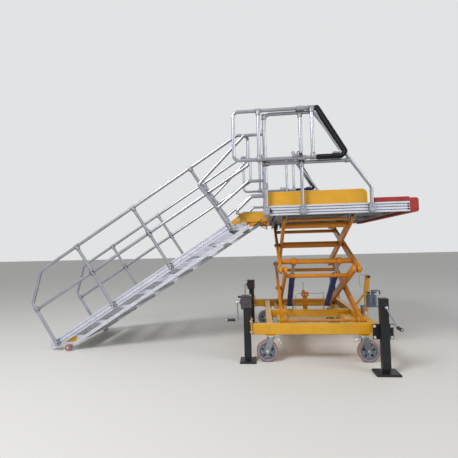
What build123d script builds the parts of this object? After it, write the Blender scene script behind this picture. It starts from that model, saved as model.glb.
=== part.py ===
from build123d import *
import math
import os

# Aircraft cargo door access stand: a scissor lift with a railed platform, a self-levelling stair,
# sliding door guards, four swivel casters and four screw jacks.
# Millimetres. +X points to the bumper end, +Y across the stand and +Z up.
# Heights are above the floor. Every x below is measured from the middle of the platform.

os.makedirs("parts", exist_ok=True)

# Driving dimensions: platform
deck_height = 1800.0
deck_length = 1550.0
deck_width = 2160.0
deck_plank = 25.0
plank_count = 7
plank_joint = 4.0
side_height = 110.0
side_depth = 40.0
groove_depth = 9.0
groove_mouth = 10.0
groove_pitch = 31.0
toe_height = 165.0
toe_depth = 6.0
toe_round = 60.0
bumper_depth = 95.0
bumper_height = 160.0
bumper_over_deck = 40.0
pad_height = 55.0
frame_beam = 70.0
inner_beam_y = 400.0

# Driving dimensions: chassis
wheel_r = 125.0
rail_over_wheel = 68.0
rail_height = 120.0
rail_width = 80.0
rail_inset = 145.0
rail_left_overhang = 235.0
cross_drop = 10.0
cross_width = 70.0
end_beam_inset = 210.0
beam_inset = 405.0
beam_width = 80.0
beam_overhang = 155.0
beam_lift = 15.0
end_plate = 12.0
end_plate_half = 105.0
end_plate_rise = 60.0
track_width = 150.0
lip = 14.0
lip_rise = 26.0

# Driving dimensions: scissor
arm_span = 1500.0
pivot_under_deck = 150.0
pivot_under_rail_top = 8.0
arm_depth = 90.0
arm_width = 36.0
arm_gap = 24.0
outer_left_inset = 130.0
outer_right_inset = 490.0
cross_r = 25.0
middle_cross_r = 42.0
top_cross_r = 35.0
eye_cross_r = 32.0
pivot_r = 16.0
roller_r = 52.0
roller_gap_x = 4.0
roller_width = 30.0
pin_overhang = 6.0
boss_r = eye_cross_r + 12.0
lug_thick = 14.0
lug_r = 42.0
lug_gap = 5.0

# Driving dimensions: lift cylinders
cylinder_base_y = 420.0
cylinder_offset = 285.0
cylinder_r = 40.0
cylinder_pin_r = 15.0
cylinder_eye_r = 30.0
barrel_length = 830.0
gland_length = 40.0
gland_extra = 4.0
rod_length = 830.0
rod_r = 22.0
rod_eye_share = 0.15
rod_head = 22.0

# Driving dimensions: casters and jacks
wheel_width = 50.0
tyre_thick = 22.0
tyre_round = 10.0
caster_trail = 47.0
caster_plate = 12.0
king_r = 15.0
head_r = 38.0
fork_width = 8.0
axle_r = 9.0
hub_hole_r = 15.0
hub_hole_ring = 60.0
jack_tube = 82.0
jack_wall = 9.0
jack_over_rail = 327.0
jack_bottom = 50.0
jack_clear = 0.4
jack_backing = 8.0
gear_height = 155.0
left_gear_out = 26.0
left_gear_side = 12.0
right_gear_out = 8.0
gear_chamfer = 14.0
leg_in_tube = 120.0
foot_depth = 186.0
left_foot_width = 184.0
right_foot_width = 240.0
foot_height = 24.0
crank_drop = 75.0
crank_shaft = 45.0
crank_reach = 215.0
crank_turn_in = 30.0
crank_grip = 95.0
crank_r = 8.0
grip_r = 14.0

# Driving dimensions: hand pump and towing handle
pump_y = -350.0
pump_half = 60.0
shelf_over_rail = 82.0
shelf_reach = 190.0
tank_height = 140.0
pump_head = 28.0
lever_r = 9.0
drawbar_gap = 135.0
drawbar_lift = 57.0
drawbar_length = 520.0
drawbar_low_knee = (33.0, 135.0)
drawbar_high_knee = (26.0, 284.0)
drawbar_tip = 57.0
drawbar_heel = 23.0
drawbar_width = 60.0
drawbar_thick = 30.0
drawbar_pin_r = 14.0
drawbar_cheek = 31.0
handle_half = 70.0
handle_r = 15.0
stay_foot = 36.0
stay_rise = 160.0
stay_end = 32.0
stay_thick = 14.0
stay_gap = 5.0

# Driving dimensions: stair
stair_angle = 32.3
stair_gap = 372.0
stair_pivot_drop = 105.0
stair_foot_gap = 131.9
stringer_y = 515.0
stringer_depth = 100.0
stringer_width = 30.0
lower_depth = 43.0
tread_run = 261.0
tread_count = 8
tread_thick = 42.0
tread_plate = 6.0
tread_nose = 22.0
tread_tail = 14.0
tread_rib_y = 240.0
tread_top_over_pin = 15.0
tread_pin_r = 8.0
stair_pin_r = 12.0
foot_roller_r = 45.0
roller_gap = 6.0
roller_wide = 30.0
roller_axle_r = 9.0
handrail_y = 570.0
handrail_r = 21.0
handrail_height = 940.0
knee_height = 527.0
post_first = 166.0
post_pitch = 935.0
handrail_bend = 55.0
corner_run = 330.0
corner_rise = 313.0
head_over_pivot = 600.0
collar_extra = 5.0

# Driving dimensions: stair head
cheek_thick = 8.0
cheek_under_deck = 15.0
cheek_low_under_deck = 132.0
landing_gap = 42.0

# Driving dimensions: guard rails
rail_r = 20.0
rail_bend = 70.0
fixed_rail_over = 20.0
fixed_top_over = 1060.0
fixed_mid_over = 485.0
fixed_low_over = 225.0
fixed_slope_low = 175.0
fixed_slope_run = 602.0
top_bar_drop = 32.0
post_left_gap = 25.0
post_middle_inset = 385.0
post_right_inset = 408.0
opening_y = 630.0
loop_top_over = 983.0
loop_knee_over = 381.0
loop_low_over = 45.0
loop_point_over = 360.0
loop_shoulder = 254.0
loop_point = 868.0
loop_low = 625.0
loop_return = 213.0
entry_knee_over = 179.0
entry_knee_run = 183.0
sleeve_length = 100.0

# Driving dimensions: sliding guards
guard_over = 70.0
guard_left_reach = 355.0
guard_right_reach = 125.0
guard_top_over = 1090.0
guard_bottom_over = 525.0
guard_bend = 60.0
inner_upright_gap = 289.0
nose_reach = 377.0
nose_tip_over = 568.0
nose_r = 11.0
nose_bend = 24.0
nose_shoulder = 50.0
nose_drop = 5.0
nose_tip_back = 22.0
nose_low_back = 72.0
foam_r = 27.0
brace_r = 12.0
brace_bend = 20.0
brace_return = 90.0
foam_start = 37.0

# Shared clearances
pin_clear = 0.1
face_clear = 0.3
side_clear = 6.0

# Worked out: platform and chassis
half_deck = deck_length / 2
half_width = deck_width / 2
side_bottom = deck_height - side_height
plank_bottom = deck_height - deck_plank
rail_left_x = -half_deck - rail_left_overhang
rail_bottom = 2 * wheel_r + rail_over_wheel
rail_top = rail_bottom + rail_height
rail_y = half_width - rail_inset
end_beam_x = rail_left_x + end_beam_inset
beam_x = half_deck - beam_inset
beam_reach = half_width + beam_overhang
rail_right_x = beam_x - beam_width / 2
caster_left_x = rail_left_x + 220.0
caster_right_x = rail_right_x - 71.0
left_jack_x = rail_left_x - end_plate - jack_tube / 2
right_jack_y = beam_reach + end_plate + jack_backing + jack_tube / 2
jack_top = rail_top + jack_over_rail
drawbar_x = beam_x + beam_width / 2 + drawbar_gap
drawbar_z = rail_bottom + drawbar_lift

# Worked out: scissor and cylinders
outer_left_x = -half_deck + outer_left_inset
outer_right_x = half_deck - outer_right_inset
base_pivot_z = rail_top - pivot_under_rail_top
top_pivot_z = deck_height - pivot_under_deck
stage_height = (top_pivot_z - base_pivot_z) / 2
middle_pivot_z = base_pivot_z + stage_height
arm_length = math.hypot(arm_span, stage_height)
near_pivot_y = -arm_span / 2
far_pivot_y = arm_span / 2
inner_left_x = outer_left_x + arm_width + arm_gap
inner_right_x = outer_right_x - arm_width - arm_gap
lift_middle_x = (outer_left_x + outer_right_x) / 2
track_top = base_pivot_z - roller_r - face_clear
track_places = (outer_left_x + (arm_width + arm_gap) / 2, outer_right_x - (arm_width + arm_gap) / 2)
channel_bottom = top_pivot_z + roller_r + face_clear
frame_bottom = channel_bottom - 74.3

# Worked out: stair
slope = math.radians(stair_angle)
stair_pivot_x = -half_deck - stair_gap
stair_pivot_z = deck_height - stair_pivot_drop
stair_length = stair_pivot_z / math.sin(slope) - stair_foot_gap
tread_rise = deck_height / (tread_count + 1)
lower_pivot_x = stair_pivot_x + tread_run
lower_drop = tread_run * math.sin(slope)
lower_shift = -tread_run * math.cos(slope)
lower_length = (stair_pivot_z - foot_roller_r) / math.sin(slope)
tread_first = (stair_pivot_z - (deck_height - tread_rise - tread_top_over_pin)) / math.sin(slope)
tread_pitch = tread_rise / math.sin(slope)
tread_downs = [tread_first + index * tread_pitch for index in range(tread_count)]
stringer_face_y = stringer_y + stringer_width / 2
stringer_inner_y = stringer_y - stringer_width / 2
cheek_y = stringer_face_y + side_clear
cheek_top = deck_height - cheek_under_deck
cheek_low = deck_height - cheek_low_under_deck

# Worked out: rails and guards
fixed_rail_y = half_width + fixed_rail_over
fixed_top_z = deck_height + fixed_top_over
fixed_mid_z = deck_height + fixed_mid_over
post_left_x = -half_deck - post_left_gap
post_middle_x = -half_deck + post_middle_inset
post_right_x = half_deck - post_right_inset
fixed_slope_x = post_right_x - fixed_slope_run
guard_y = half_width + guard_over
guard_left_x = post_left_x - guard_left_reach
guard_right_x = post_middle_x + guard_right_reach
guard_top_z = deck_height + guard_top_over
guard_bottom_z = deck_height + guard_bottom_over
guard_middle_x = (guard_left_x + guard_right_x) / 2
inner_upright_x = guard_left_x + inner_upright_gap
nose_tip_x = guard_right_x + nose_reach
nose_tip_z = deck_height + nose_tip_over

# Worked out: overall length, from the lowest hand rail corner to the bumper
post_last = post_first + 3 * post_pitch
corner_up = handrail_height - corner_rise
corner_turn = math.atan2(corner_run, corner_rise)
corner_cut = handrail_bend * math.tan(corner_turn / 2)
reach_left = (stair_pivot_x - post_last * math.cos(slope) - (corner_up - corner_cut) * math.sin(slope)
              - handrail_bend * (1 - math.cos(slope)) - handrail_r)
reach_right = half_deck + bumper_depth
to_middle = -(reach_left + reach_right) / 2


def box(x0, x1, y0, y1, z0, z1):
    """A block between two corners."""
    middle = ((x0 + x1) / 2, (y0 + y1) / 2, (z0 + z1) / 2)
    return Pos(*middle) * Box(abs(x1 - x0), abs(y1 - y0), abs(z1 - z0))


def rod(start, end, radius):
    """A round bar from one point to another."""
    axis = Vector(*end) - Vector(*start)
    return extrude(Plane(origin=start, z_dir=axis) * Circle(radius), amount=axis.length)


def bent_tube(points, bend, radius):
    """A round tube along straight runs joined by arcs."""
    path = FilletPolyline(*points, radius=bend)
    return sweep(Plane(origin=path @ 0, z_dir=path % 0) * Circle(radius), path=path)


def plate_xz(outline, y, thick):
    """A flat plate in the X-Z plane, given by (x, z) corners, from y towards +Y."""
    face = make_face(Polyline(*[(x, y, z) for x, z in outline], close=True))
    return extrude(face, amount=thick, dir=(0, 1, 0))


def plate_yz(outline, x, thick):
    """A flat plate in the Y-Z plane, given by (y, z) corners, from x towards +X."""
    face = make_face(Polyline(*[(x, y, z) for y, z in outline], close=True))
    return extrude(face, amount=thick, dir=(1, 0, 0))


def mirrored(solid):
    """The solid and its twin on the other side of the stand."""
    return [solid, mirror(solid, about=Plane.XZ)]


def join(pieces):
    """One solid from pieces that touch."""
    whole = pieces[0]
    for piece in pieces[1:]:
        whole = whole + piece
    return whole


def save(name, *solids):
    """Write a node, moved so that the stand's overall middle is at the origin."""
    bodies = []
    for solid in solids:
        bodies.extend(solid.solids())
    export_step(Pos(to_middle, 0, 0) * Compound(bodies), f"parts/{name}.step")


# Chassis: two long rails, a centre rail, an end beam, two roller tracks and the outrigger beam.
def chassis():
    pieces = []
    for side in (-1, 1):
        y0, y1 = sorted((side * (rail_y - rail_width / 2), side * (rail_y + rail_width / 2)))
        pieces.append(fillet(box(rail_left_x, rail_right_x, y0, y1, rail_bottom, rail_top).edges()
                             .filter_by(Axis.X), 8))
    inner = rail_y - rail_width / 2
    half = cross_width / 2
    pieces.append(box(end_beam_x - half, end_beam_x + half, -inner, inner, rail_bottom,
                      rail_top - cross_drop))
    pieces.append(box(end_beam_x + half, rail_right_x, -half, half, rail_bottom + 5, rail_top - cross_drop))
    pieces.append(box(beam_x - beam_width / 2, beam_x + beam_width / 2, -beam_reach, beam_reach,
                      rail_bottom + beam_lift, rail_top))
    for track_x in track_places:
        pieces.append(track(track_x, inner))
    for side in (-1, 1):
        pieces.append(box(beam_x - end_plate_half, beam_x + end_plate_half, side * beam_reach,
                          side * (beam_reach + end_plate), rail_bottom + 20, rail_top + end_plate_rise))
        pieces.append(box(rail_left_x - end_plate, rail_left_x, side * (rail_y - 85), side * (rail_y + 65),
                          rail_bottom + 12, rail_top + end_plate_rise))
    whole = join(pieces)
    for lug in cylinder_lugs():
        whole = whole + lug
    for lug in drawbar_lugs():
        whole = whole + lug
    return whole + drawbar_stay()


def track(x, inner):
    """A roller track across the chassis, with lips at the far half and pivot lugs at the near end."""
    half = track_width / 2
    beam = box(x - half, x + half, -inner, inner, rail_bottom, track_top)
    lips = [box(x + side * half, x + side * (half - lip), 0, inner, track_top, track_top + lip_rise)
            for side in (-1, 1)]
    whole = join([beam] + lips)
    outer_x = outer_left_x if x < lift_middle_x else outer_right_x
    for side in (-1, 1):
        start = outer_x + side * (arm_width / 2 + lug_gap)
        x0, x1 = sorted((start, start + side * lug_thick))
        eye = Plane.YZ.offset(x0) * Pos(near_pivot_y, base_pivot_z) * Circle(lug_r)
        foot = Plane.YZ.offset(x0) * Pos(near_pivot_y, (base_pivot_z + track_top) / 2 - 5) \
            * Rectangle(2 * lug_r, base_pivot_z - track_top + 10)
        lug = extrude(eye + foot, amount=x1 - x0, dir=(1, 0, 0))
        bore = rod((x0 - 1, near_pivot_y, base_pivot_z), (x1 + 1, near_pivot_y, base_pivot_z),
                   pivot_r + pin_clear)
        whole = whole + lug - bore
    return whole


def cylinder_lugs():
    """Pairs of lugs on a cross bar that hold the lower ends of the lift cylinders."""
    pieces = [box(track_places[0] + track_width / 2, track_places[1] - track_width / 2,
                  cylinder_base_y - 30, cylinder_base_y + 30, rail_bottom, track_top - 35)]
    for side in (-1, 1):
        centre = lift_middle_x + side * cylinder_offset
        for cheek in (-1, 1):
            start = centre + cheek * (cylinder_r + lug_gap)
            x0, x1 = sorted((start, start + cheek * lug_thick))
            low, high = track_top - 45, base_pivot_z + 25
            lug = plate_yz([(cylinder_base_y - 40, low), (cylinder_base_y + 40, low),
                            (cylinder_base_y + 30, high), (cylinder_base_y - 30, high)], x0, x1 - x0)
            pieces.append(lug)
        bore_half = cylinder_r + lug_gap + lug_thick + 1
        pieces.append(rod((centre - bore_half, cylinder_base_y, base_pivot_z),
                          (centre + bore_half, cylinder_base_y, base_pivot_z), cylinder_pin_r))
    return pieces


def drawbar_lugs():
    """Two lugs on the outrigger beam that hold the towing handle, with its pin."""
    face = beam_x + beam_width / 2
    pieces = []
    for side in (-1, 1):
        y0, y1 = sorted((side * drawbar_cheek, side * (drawbar_cheek + lug_thick)))
        lug = plate_xz([(face, rail_bottom + beam_lift), (drawbar_x + 30, drawbar_z - 30),
                        (drawbar_x + 30, drawbar_z + 30), (face, rail_top)], y0, y1 - y0)
        pieces.append(lug)
    reach = drawbar_cheek + lug_thick
    pieces.append(rod((drawbar_x, -reach, drawbar_z), (drawbar_x, reach, drawbar_z), drawbar_pin_r))
    return pieces


# Casters: a fixed top plate, a swivelling fork and a wheel with a moulded tyre on a steel hub.
caster_places = [("near_left", caster_left_x, -1, -1), ("near_right", caster_right_x, -1, 1),
                 ("far_left", caster_left_x, 1, -1), ("far_right", caster_right_x, 1, 1)]


def caster_top(x, y):
    plate = box(x - 58, x + 58, y - 45, y + 45, rail_bottom - caster_plate, rail_bottom)
    return plate - rod((x, y, rail_bottom - caster_plate - 1), (x, y, rail_bottom - 2), king_r + pin_clear)


def caster_fork(x, y, trail):
    """The swivel head, its kingpin, two cheeks and the axle. The wheel trails by `trail` along X."""
    head_top = rail_bottom - caster_plate - face_clear
    bridge_bottom = 2 * wheel_r + 8
    wheel_x = x + trail
    cheek_y = wheel_width / 2 + side_clear
    pieces = [rod((x, y, bridge_bottom), (x, y, head_top), head_r),
              rod((x, y, bridge_bottom), (x, y, rail_bottom - 3), king_r)]
    low, high = sorted((x - math.copysign(head_r, trail), wheel_x))
    pieces.append(box(low, high, y - cheek_y - fork_width, y + cheek_y + fork_width,
                      bridge_bottom, bridge_bottom + 10))
    for side in (-1, 1):
        y0, y1 = sorted((y + side * cheek_y, y + side * (cheek_y + fork_width)))
        cheek = plate_xz([(x - math.copysign(head_r, trail), bridge_bottom + 10),
                          (wheel_x, bridge_bottom + 10),
                          (wheel_x + math.copysign(24, trail), wheel_r + 20),
                          (wheel_x + math.copysign(24, trail), wheel_r - 20),
                          (wheel_x - math.copysign(24, trail), wheel_r - 20)], y0, y1 - y0)
        pieces.append(cheek)
    pieces.append(rod((wheel_x, y - cheek_y - fork_width - 8, wheel_r),
                      (wheel_x, y + cheek_y + fork_width + 8, wheel_r), axle_r))
    return join(pieces)


def wheel_ring(x, y, outer, inner, width, round_over):
    ring = rod((x, y - width / 2, wheel_r), (x, y + width / 2, wheel_r), outer)
    if round_over:
        ring = fillet(ring.edges().filter_by(GeomType.CIRCLE), round_over)
    return ring - rod((x, y - width, wheel_r), (x, y + width, wheel_r), inner)


def wheel_hub(x, y):
    """Dished disc between rim and boss, with five round lightening holes."""
    rim_r = wheel_r - tyre_thick
    hub = wheel_ring(x, y, rim_r, axle_r + pin_clear, wheel_width, 0)
    for side in (-1, 1):
        outer = rod((x, y + side * 12, wheel_r), (x, y + side * wheel_width, wheel_r), rim_r - 12)
        boss = rod((x, y + side * 12, wheel_r), (x, y + side * wheel_width, wheel_r), 28)
        hub = hub - (outer - boss)
    for turn in range(5):
        angle = math.radians(72 * turn + 18)
        centre_x = x + hub_hole_ring * math.cos(angle)
        centre_z = wheel_r + hub_hole_ring * math.sin(angle)
        hub = hub - rod((centre_x, y - wheel_width, centre_z), (centre_x, y + wheel_width, centre_z),
                        hub_hole_r)
    return hub


# Jacks: a square tube with a gearbox on top, a leg that slides inside it and a foot plate.
jack_places = [("near_left", left_jack_x, -rail_y, -1, 0), ("far_left", left_jack_x, rail_y, -1, 0),
               ("near_right", beam_x, -right_jack_y, 0, -1), ("far_right", beam_x, right_jack_y, 0, 1)]


def jack_body(x, y, out_x, out_y):
    """The fixed tube with its gearbox and, on the beam's ends, the bolted plate behind it."""
    half = jack_tube / 2
    tube = fillet(box(x - half, x + half, y - half, y + half, jack_bottom, jack_top).edges()
                  .filter_by(Axis.Z), 8)
    gear_bottom = jack_top - gear_height
    if out_x:
        side = half + left_gear_side
        gear = box(x - half - left_gear_out, x + side, y - side, y + side, gear_bottom, jack_top)
        gear = chamfer(gear.edges().group_by(Axis.Z)[0], gear_chamfer)
    else:
        y0, y1 = sorted((y + out_y * (half + right_gear_out), y - out_y * half))
        gear = box(x - half, x + half, y0, y1, gear_bottom, jack_top)
    tube = tube + fillet(gear.edges().filter_by(Axis.Z), 8)
    if out_y:
        back = y - out_y * half
        y0, y1 = sorted((back, back - out_y * jack_backing))
        tube = tube + box(x - end_plate_half, x + end_plate_half, y0, y1, rail_bottom + 22,
                          rail_top + end_plate_rise - 2)
    bore = half - jack_wall
    return tube - box(x - bore, x + bore, y - bore, y + bore, jack_bottom - 1, gear_bottom - 5)


def jack_leg(x, y, foot_width):
    """The sliding leg with its rectangular foot plate on the floor."""
    half = jack_tube / 2 - jack_wall - jack_clear
    leg = box(x - half, x + half, y - half, y + half, foot_height, jack_top - gear_height - leg_in_tube)
    foot = box(x - foot_width / 2, x + foot_width / 2, y - foot_depth / 2, y + foot_depth / 2, 0, foot_height)
    return leg + chamfer(foot.edges().group_by(Axis.Z)[-1], 4)


def jack_crank(x, y, out_x, out_y, turn):
    """The cranked winding handle: shaft, arm and grip. The arm hangs at `turn` degrees from down."""
    half = jack_tube / 2 + (left_gear_out if out_x else right_gear_out)
    shaft_z = jack_top - crank_drop
    start = (x + out_x * half, y + out_y * half, shaft_z)
    elbow = (x + out_x * (half + crank_shaft), y + out_y * (half + crank_shaft), shaft_z)
    swing = math.radians(turn)
    side = crank_reach * math.sin(swing)
    low = (elbow[0] + abs(out_y) * side, elbow[1] + abs(out_x) * side,
           shaft_z - crank_reach * math.cos(swing))
    end = (low[0] + out_x * crank_turn_in, low[1] + out_y * crank_turn_in, low[2])
    grip = (end[0] + out_x * crank_grip, end[1] + out_y * crank_grip, end[2])
    handle = bent_tube([start, elbow, low, end], 12, crank_r)
    return handle + rod(end, grip, grip_r)


# Hand pump on a bracket beside the drawbar.
def pump():
    face = beam_x + beam_width / 2
    low, high = pump_y - pump_half, pump_y + pump_half
    shelf_low = rail_top + shelf_over_rail
    shelf_top = shelf_low + end_plate
    tank_top = shelf_top + tank_height
    head_top = tank_top + pump_head
    shelf = box(face, face + shelf_reach, low, high, shelf_low, shelf_top)
    back = box(face, face + 10, low, high, rail_bottom + 25, shelf_top)
    tank = fillet(box(face + 70, face + shelf_reach - 10, low + 5, high - 5, shelf_top, tank_top).edges()
                  .filter_by(Axis.Z), 14)
    head = box(face + 90, face + 160, pump_y - 35, pump_y + 35, tank_top, head_top)
    lever = bent_tube([(face + 125, pump_y, head_top - 10), (face + 125, pump_y, head_top + 25),
                       (face + 235, pump_y, head_top + 25), (face + 235, pump_y, head_top - 40)], 15, lever_r)
    return join([shelf, back, tank, head, lever])


# Scissor: four arm frames. Each is two arms, left and right, joined by round cross tubes.
def place(start, end, share):
    """The (y, z) point at a share of the way along an arm."""
    return (start[0] + (end[0] - start[0]) * share, start[1] + (end[1] - start[1]) * share)


base_near = (near_pivot_y, base_pivot_z)
base_far = (far_pivot_y, base_pivot_z)
middle_near = (near_pivot_y, middle_pivot_z)
middle_far = (far_pivot_y, middle_pivot_z)
top_near = (near_pivot_y, top_pivot_z)
top_far = (far_pivot_y, top_pivot_z)
rod_eye = place(middle_near, top_far, rod_eye_share)

# name, lower end, upper end, outer pair, cross tubes as share and radius, bores, pins
arm_frames = [
    ("arms_lower_outer", base_near, middle_far, True, ((0.85, cross_r),), (0.5, 1.0), (0.0,)),
    ("arms_lower_inner", base_far, middle_near, False, ((0.85, cross_r),), (), (0.0, 0.5, 1.0)),
    ("arms_upper_inner", middle_far, top_near, False, ((0.5, middle_cross_r), (0.9, top_cross_r)), (),
     (0.0, 0.5, 1.0)),
    ("arms_upper_outer", middle_near, top_far, True, ((rod_eye_share, eye_cross_r), (0.84, cross_r)),
     (0.0, 0.5), (1.0,)),
]


def arm(x, start, end, bores):
    """One straight arm with rounded ends and bored pivots."""
    middle = place(start, end, 0.5)
    lean = math.degrees(math.atan2(end[1] - start[1], end[0] - start[0]))
    side = Plane.YZ.offset(x - arm_width / 2)
    shape = side * Pos(*middle) * Rot(0, 0, lean) * SlotCenterToCenter(arm_length, arm_depth)
    body = extrude(shape, amount=arm_width, dir=(1, 0, 0))
    for share in bores:
        y, z = place(start, end, share)
        body = body - rod((x - arm_width, y, z), (x + arm_width, y, z), pivot_r + pin_clear)
    return body


def arm_frame(start, end, outer, tubes, bores, pins):
    left, right = (outer_left_x, outer_right_x) if outer else (inner_left_x, inner_right_x)
    pieces = [arm(left, start, end, bores), arm(right, start, end, bores)]
    for share, radius in tubes:
        y, z = place(start, end, share)
        pieces.append(rod((left, y, z), (right, y, z), radius))
    for share in pins:
        y, z = place(start, end, share)
        pieces.extend(arm_pins(left, right, outer, share, (y, z)))
    if start == middle_near:
        for side in (-1, 1):
            centre = lift_middle_x + side * cylinder_offset
            pieces.append(rod((centre - 30, *rod_eye), (centre + 30, *rod_eye), boss_r))
    return join(pieces)


def arm_pins(left, right, outer, share, at):
    """Pivot pins that stand out from an arm frame, with the flanges that keep the arms apart."""
    y, z = at
    if outer and share == 0.0:
        reach = arm_width / 2 + lug_gap + lug_thick + pin_overhang
        return [rod((left - reach, y, z), (right + reach, y, z), pivot_r)]
    if outer:
        reach = arm_width / 2 + roller_gap_x + roller_width + pin_overhang
        return [rod((left, y, z), (left + reach, y, z), pivot_r),
                rod((right, y, z), (right - reach, y, z), pivot_r)]
    reach = arm_width / 2 + arm_gap + arm_width + 16
    spacer = arm_width / 2 + arm_gap - face_clear
    cap = arm_width / 2 + arm_gap + arm_width + face_clear
    if share == 0.0 and at == base_far:
        reach = arm_width / 2 + roller_gap_x + roller_width + pin_overhang
        return [rod((left - reach, y, z), (right + reach, y, z), pivot_r)]
    if share == 1.0 and at == top_near:
        return [rod((left - spacer, y, z), (right + spacer, y, z), pivot_r)]
    pieces = []
    for x, side in ((left, -1), (right, 1)):
        pieces.append(rod((x, y, z), (x + side * reach, y, z), pivot_r))
        pieces.append(rod((x, y, z), (x + side * spacer, y, z), pivot_r + 12))
        pieces.append(rod((x + side * cap, y, z), (x + side * reach, y, z), pivot_r + 10))
    return pieces


def rollers(at, places, radius):
    """Two flat rollers on the pins beside a pair of arms, on the given side of each."""
    y, z = at
    solids = []
    for x, side in places:
        start = x + side * (arm_width / 2 + roller_gap_x)
        ring = rod((start, y, z), (start + side * roller_width, y, z), radius)
        solids.append(ring - rod((start - side, y, z), (start + side * (roller_width + 1), y, z), pivot_r))
    return solids


# Lift cylinders: two barrels hinged on the chassis, with rods up to the upper outer arms' cross tube.
cylinder_foot = (cylinder_base_y, base_pivot_z)
cylinder_run = math.hypot(rod_eye[0] - cylinder_foot[0], rod_eye[1] - cylinder_foot[1])


def along_cylinder(x, distance):
    y, z = place(cylinder_foot, rod_eye, distance / cylinder_run)
    return (x, y, z)


def cylinder_barrel(x):
    eye = rod((x - cylinder_r + 4, *cylinder_foot), (x + cylinder_r - 4, *cylinder_foot), cylinder_eye_r)
    barrel = rod(along_cylinder(x, 20), along_cylinder(x, barrel_length), cylinder_r)
    gland = rod(along_cylinder(x, barrel_length - gland_length), along_cylinder(x, barrel_length + 12),
                cylinder_r + gland_extra)
    whole = eye + barrel + gland
    whole = whole - rod((x - 60, *cylinder_foot), (x + 60, *cylinder_foot), cylinder_pin_r + pin_clear)
    return whole - rod(along_cylinder(x, 90), along_cylinder(x, barrel_length + 20), rod_r + pin_clear)


def cylinder_rod(x):
    """The rod, ending in a flat head against the boss on the cross tube."""
    end = cylinder_run - boss_r - face_clear
    stem = rod(along_cylinder(x, cylinder_run - rod_length), along_cylinder(x, end), rod_r)
    return stem + rod(along_cylinder(x, end - rod_head), along_cylinder(x, end), rod_r + 8)


# Platform: a frame with tracks for the upper arms, planks, side extrusions, toe boards and bumper.
def platform_frame():
    """Cross channels over both arm pairs, tied by long beams, with pivot lugs on the near side."""
    pieces = []
    inner = half_width - side_depth
    for x in track_places:
        half = track_width / 2
        pieces.append(box(x - half, x + half, -inner, inner, channel_bottom, plank_bottom))
        for side in (-1, 1):
            pieces.append(box(x + side * half, x + side * (half - lip), 0, inner, frame_bottom,
                              channel_bottom))
        inner_x = inner_left_x if x < lift_middle_x else inner_right_x
        for side in (-1, 1):
            start = inner_x + side * (arm_width / 2 + lug_gap)
            x0, x1 = sorted((start, start + side * lug_thick))
            lug = plate_yz([(near_pivot_y - 45, channel_bottom), (near_pivot_y - 30, top_pivot_z - 32),
                            (near_pivot_y + 30, top_pivot_z - 32), (near_pivot_y + 45, channel_bottom)],
                           x0, x1 - x0)
            bore = rod((x0 - 1, near_pivot_y, top_pivot_z), (x1 + 1, near_pivot_y, top_pivot_z),
                       pivot_r + pin_clear)
            pieces.append(lug - bore)
    half = frame_beam / 2
    for y in (-inner + half + 5, -inner_beam_y, inner_beam_y, inner - half - 5):
        pieces.append(box(-half_deck, half_deck, y - half, y + half, channel_bottom + 8, plank_bottom))
    for x in (-half_deck + 30, half_deck - 30):
        pieces.append(box(x - 30, x + 30, -inner, inner, channel_bottom + 8, plank_bottom))
    return join(pieces)


def deck():
    """Aluminium planking with a shallow joint between planks."""
    inner = half_width - side_depth
    panel = box(-half_deck, half_deck, -inner, inner, plank_bottom, deck_height)
    half = plank_joint / 2
    for index in range(1, plank_count):
        y = -inner + index * 2 * inner / plank_count
        panel = panel - box(-half_deck - 1, half_deck + 1, y - half, y + half, deck_height - plank_joint,
                            deck_height + 1)
    return panel


def side_extrusion():
    """Grooved aluminium side profile: three slots along its outer face."""
    y0 = -half_width
    profile = box(-half_deck, half_deck, y0, y0 + side_depth, side_bottom, deck_height)
    middle_z = side_bottom + side_height / 2
    half = groove_mouth / 2
    for groove_z in (middle_z - groove_pitch, middle_z, middle_z + groove_pitch):
        profile = profile - box(-half_deck - 1, half_deck + 1, y0 - 1, y0 + groove_depth, groove_z - half,
                                groove_z + half)
        profile = profile - box(-half_deck - 1, half_deck + 1, y0 + 5, y0 + groove_depth + 5,
                                groove_z - groove_mouth, groove_z + groove_mouth)
    return profile


def toe_board():
    """Upright board along the deck's edge, rounded at its upper right corner."""
    y = -half_width + side_depth
    board = box(-half_deck, post_right_x - 30, y, y + toe_depth, deck_height, deck_height + toe_height)
    corner = board.edges().filter_by(Axis.Y).group_by(Axis.X)[-1].sort_by(Axis.Z)[-1]
    return fillet(corner, toe_round)


def end_board():
    """Toe board at the stair end, between the corner and the stair opening."""
    return box(-half_deck, -half_deck + toe_depth, -half_width + side_depth + toe_depth + 1, -opening_y - 5,
               deck_height, deck_height + toe_height)


def bumper():
    """Rubber bumper across the working end, rounded on its outer edges."""
    z0 = deck_height + bumper_over_deck - bumper_height
    block = box(half_deck, half_deck + bumper_depth, -half_width, half_width, z0, z0 + bumper_height)
    return fillet(block.edges().filter_by(Axis.Y).group_by(Axis.X)[-1], 30)


def edge_pad():
    """Rubber strip on the side's edge between the right post and the bumper."""
    pad = box(post_right_x + 30, half_deck, -half_width, -half_width + 45, deck_height,
              deck_height + pad_height)
    return fillet(pad.edges().filter_by(Axis.X).group_by(Axis.Z)[-1], 14)


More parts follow.
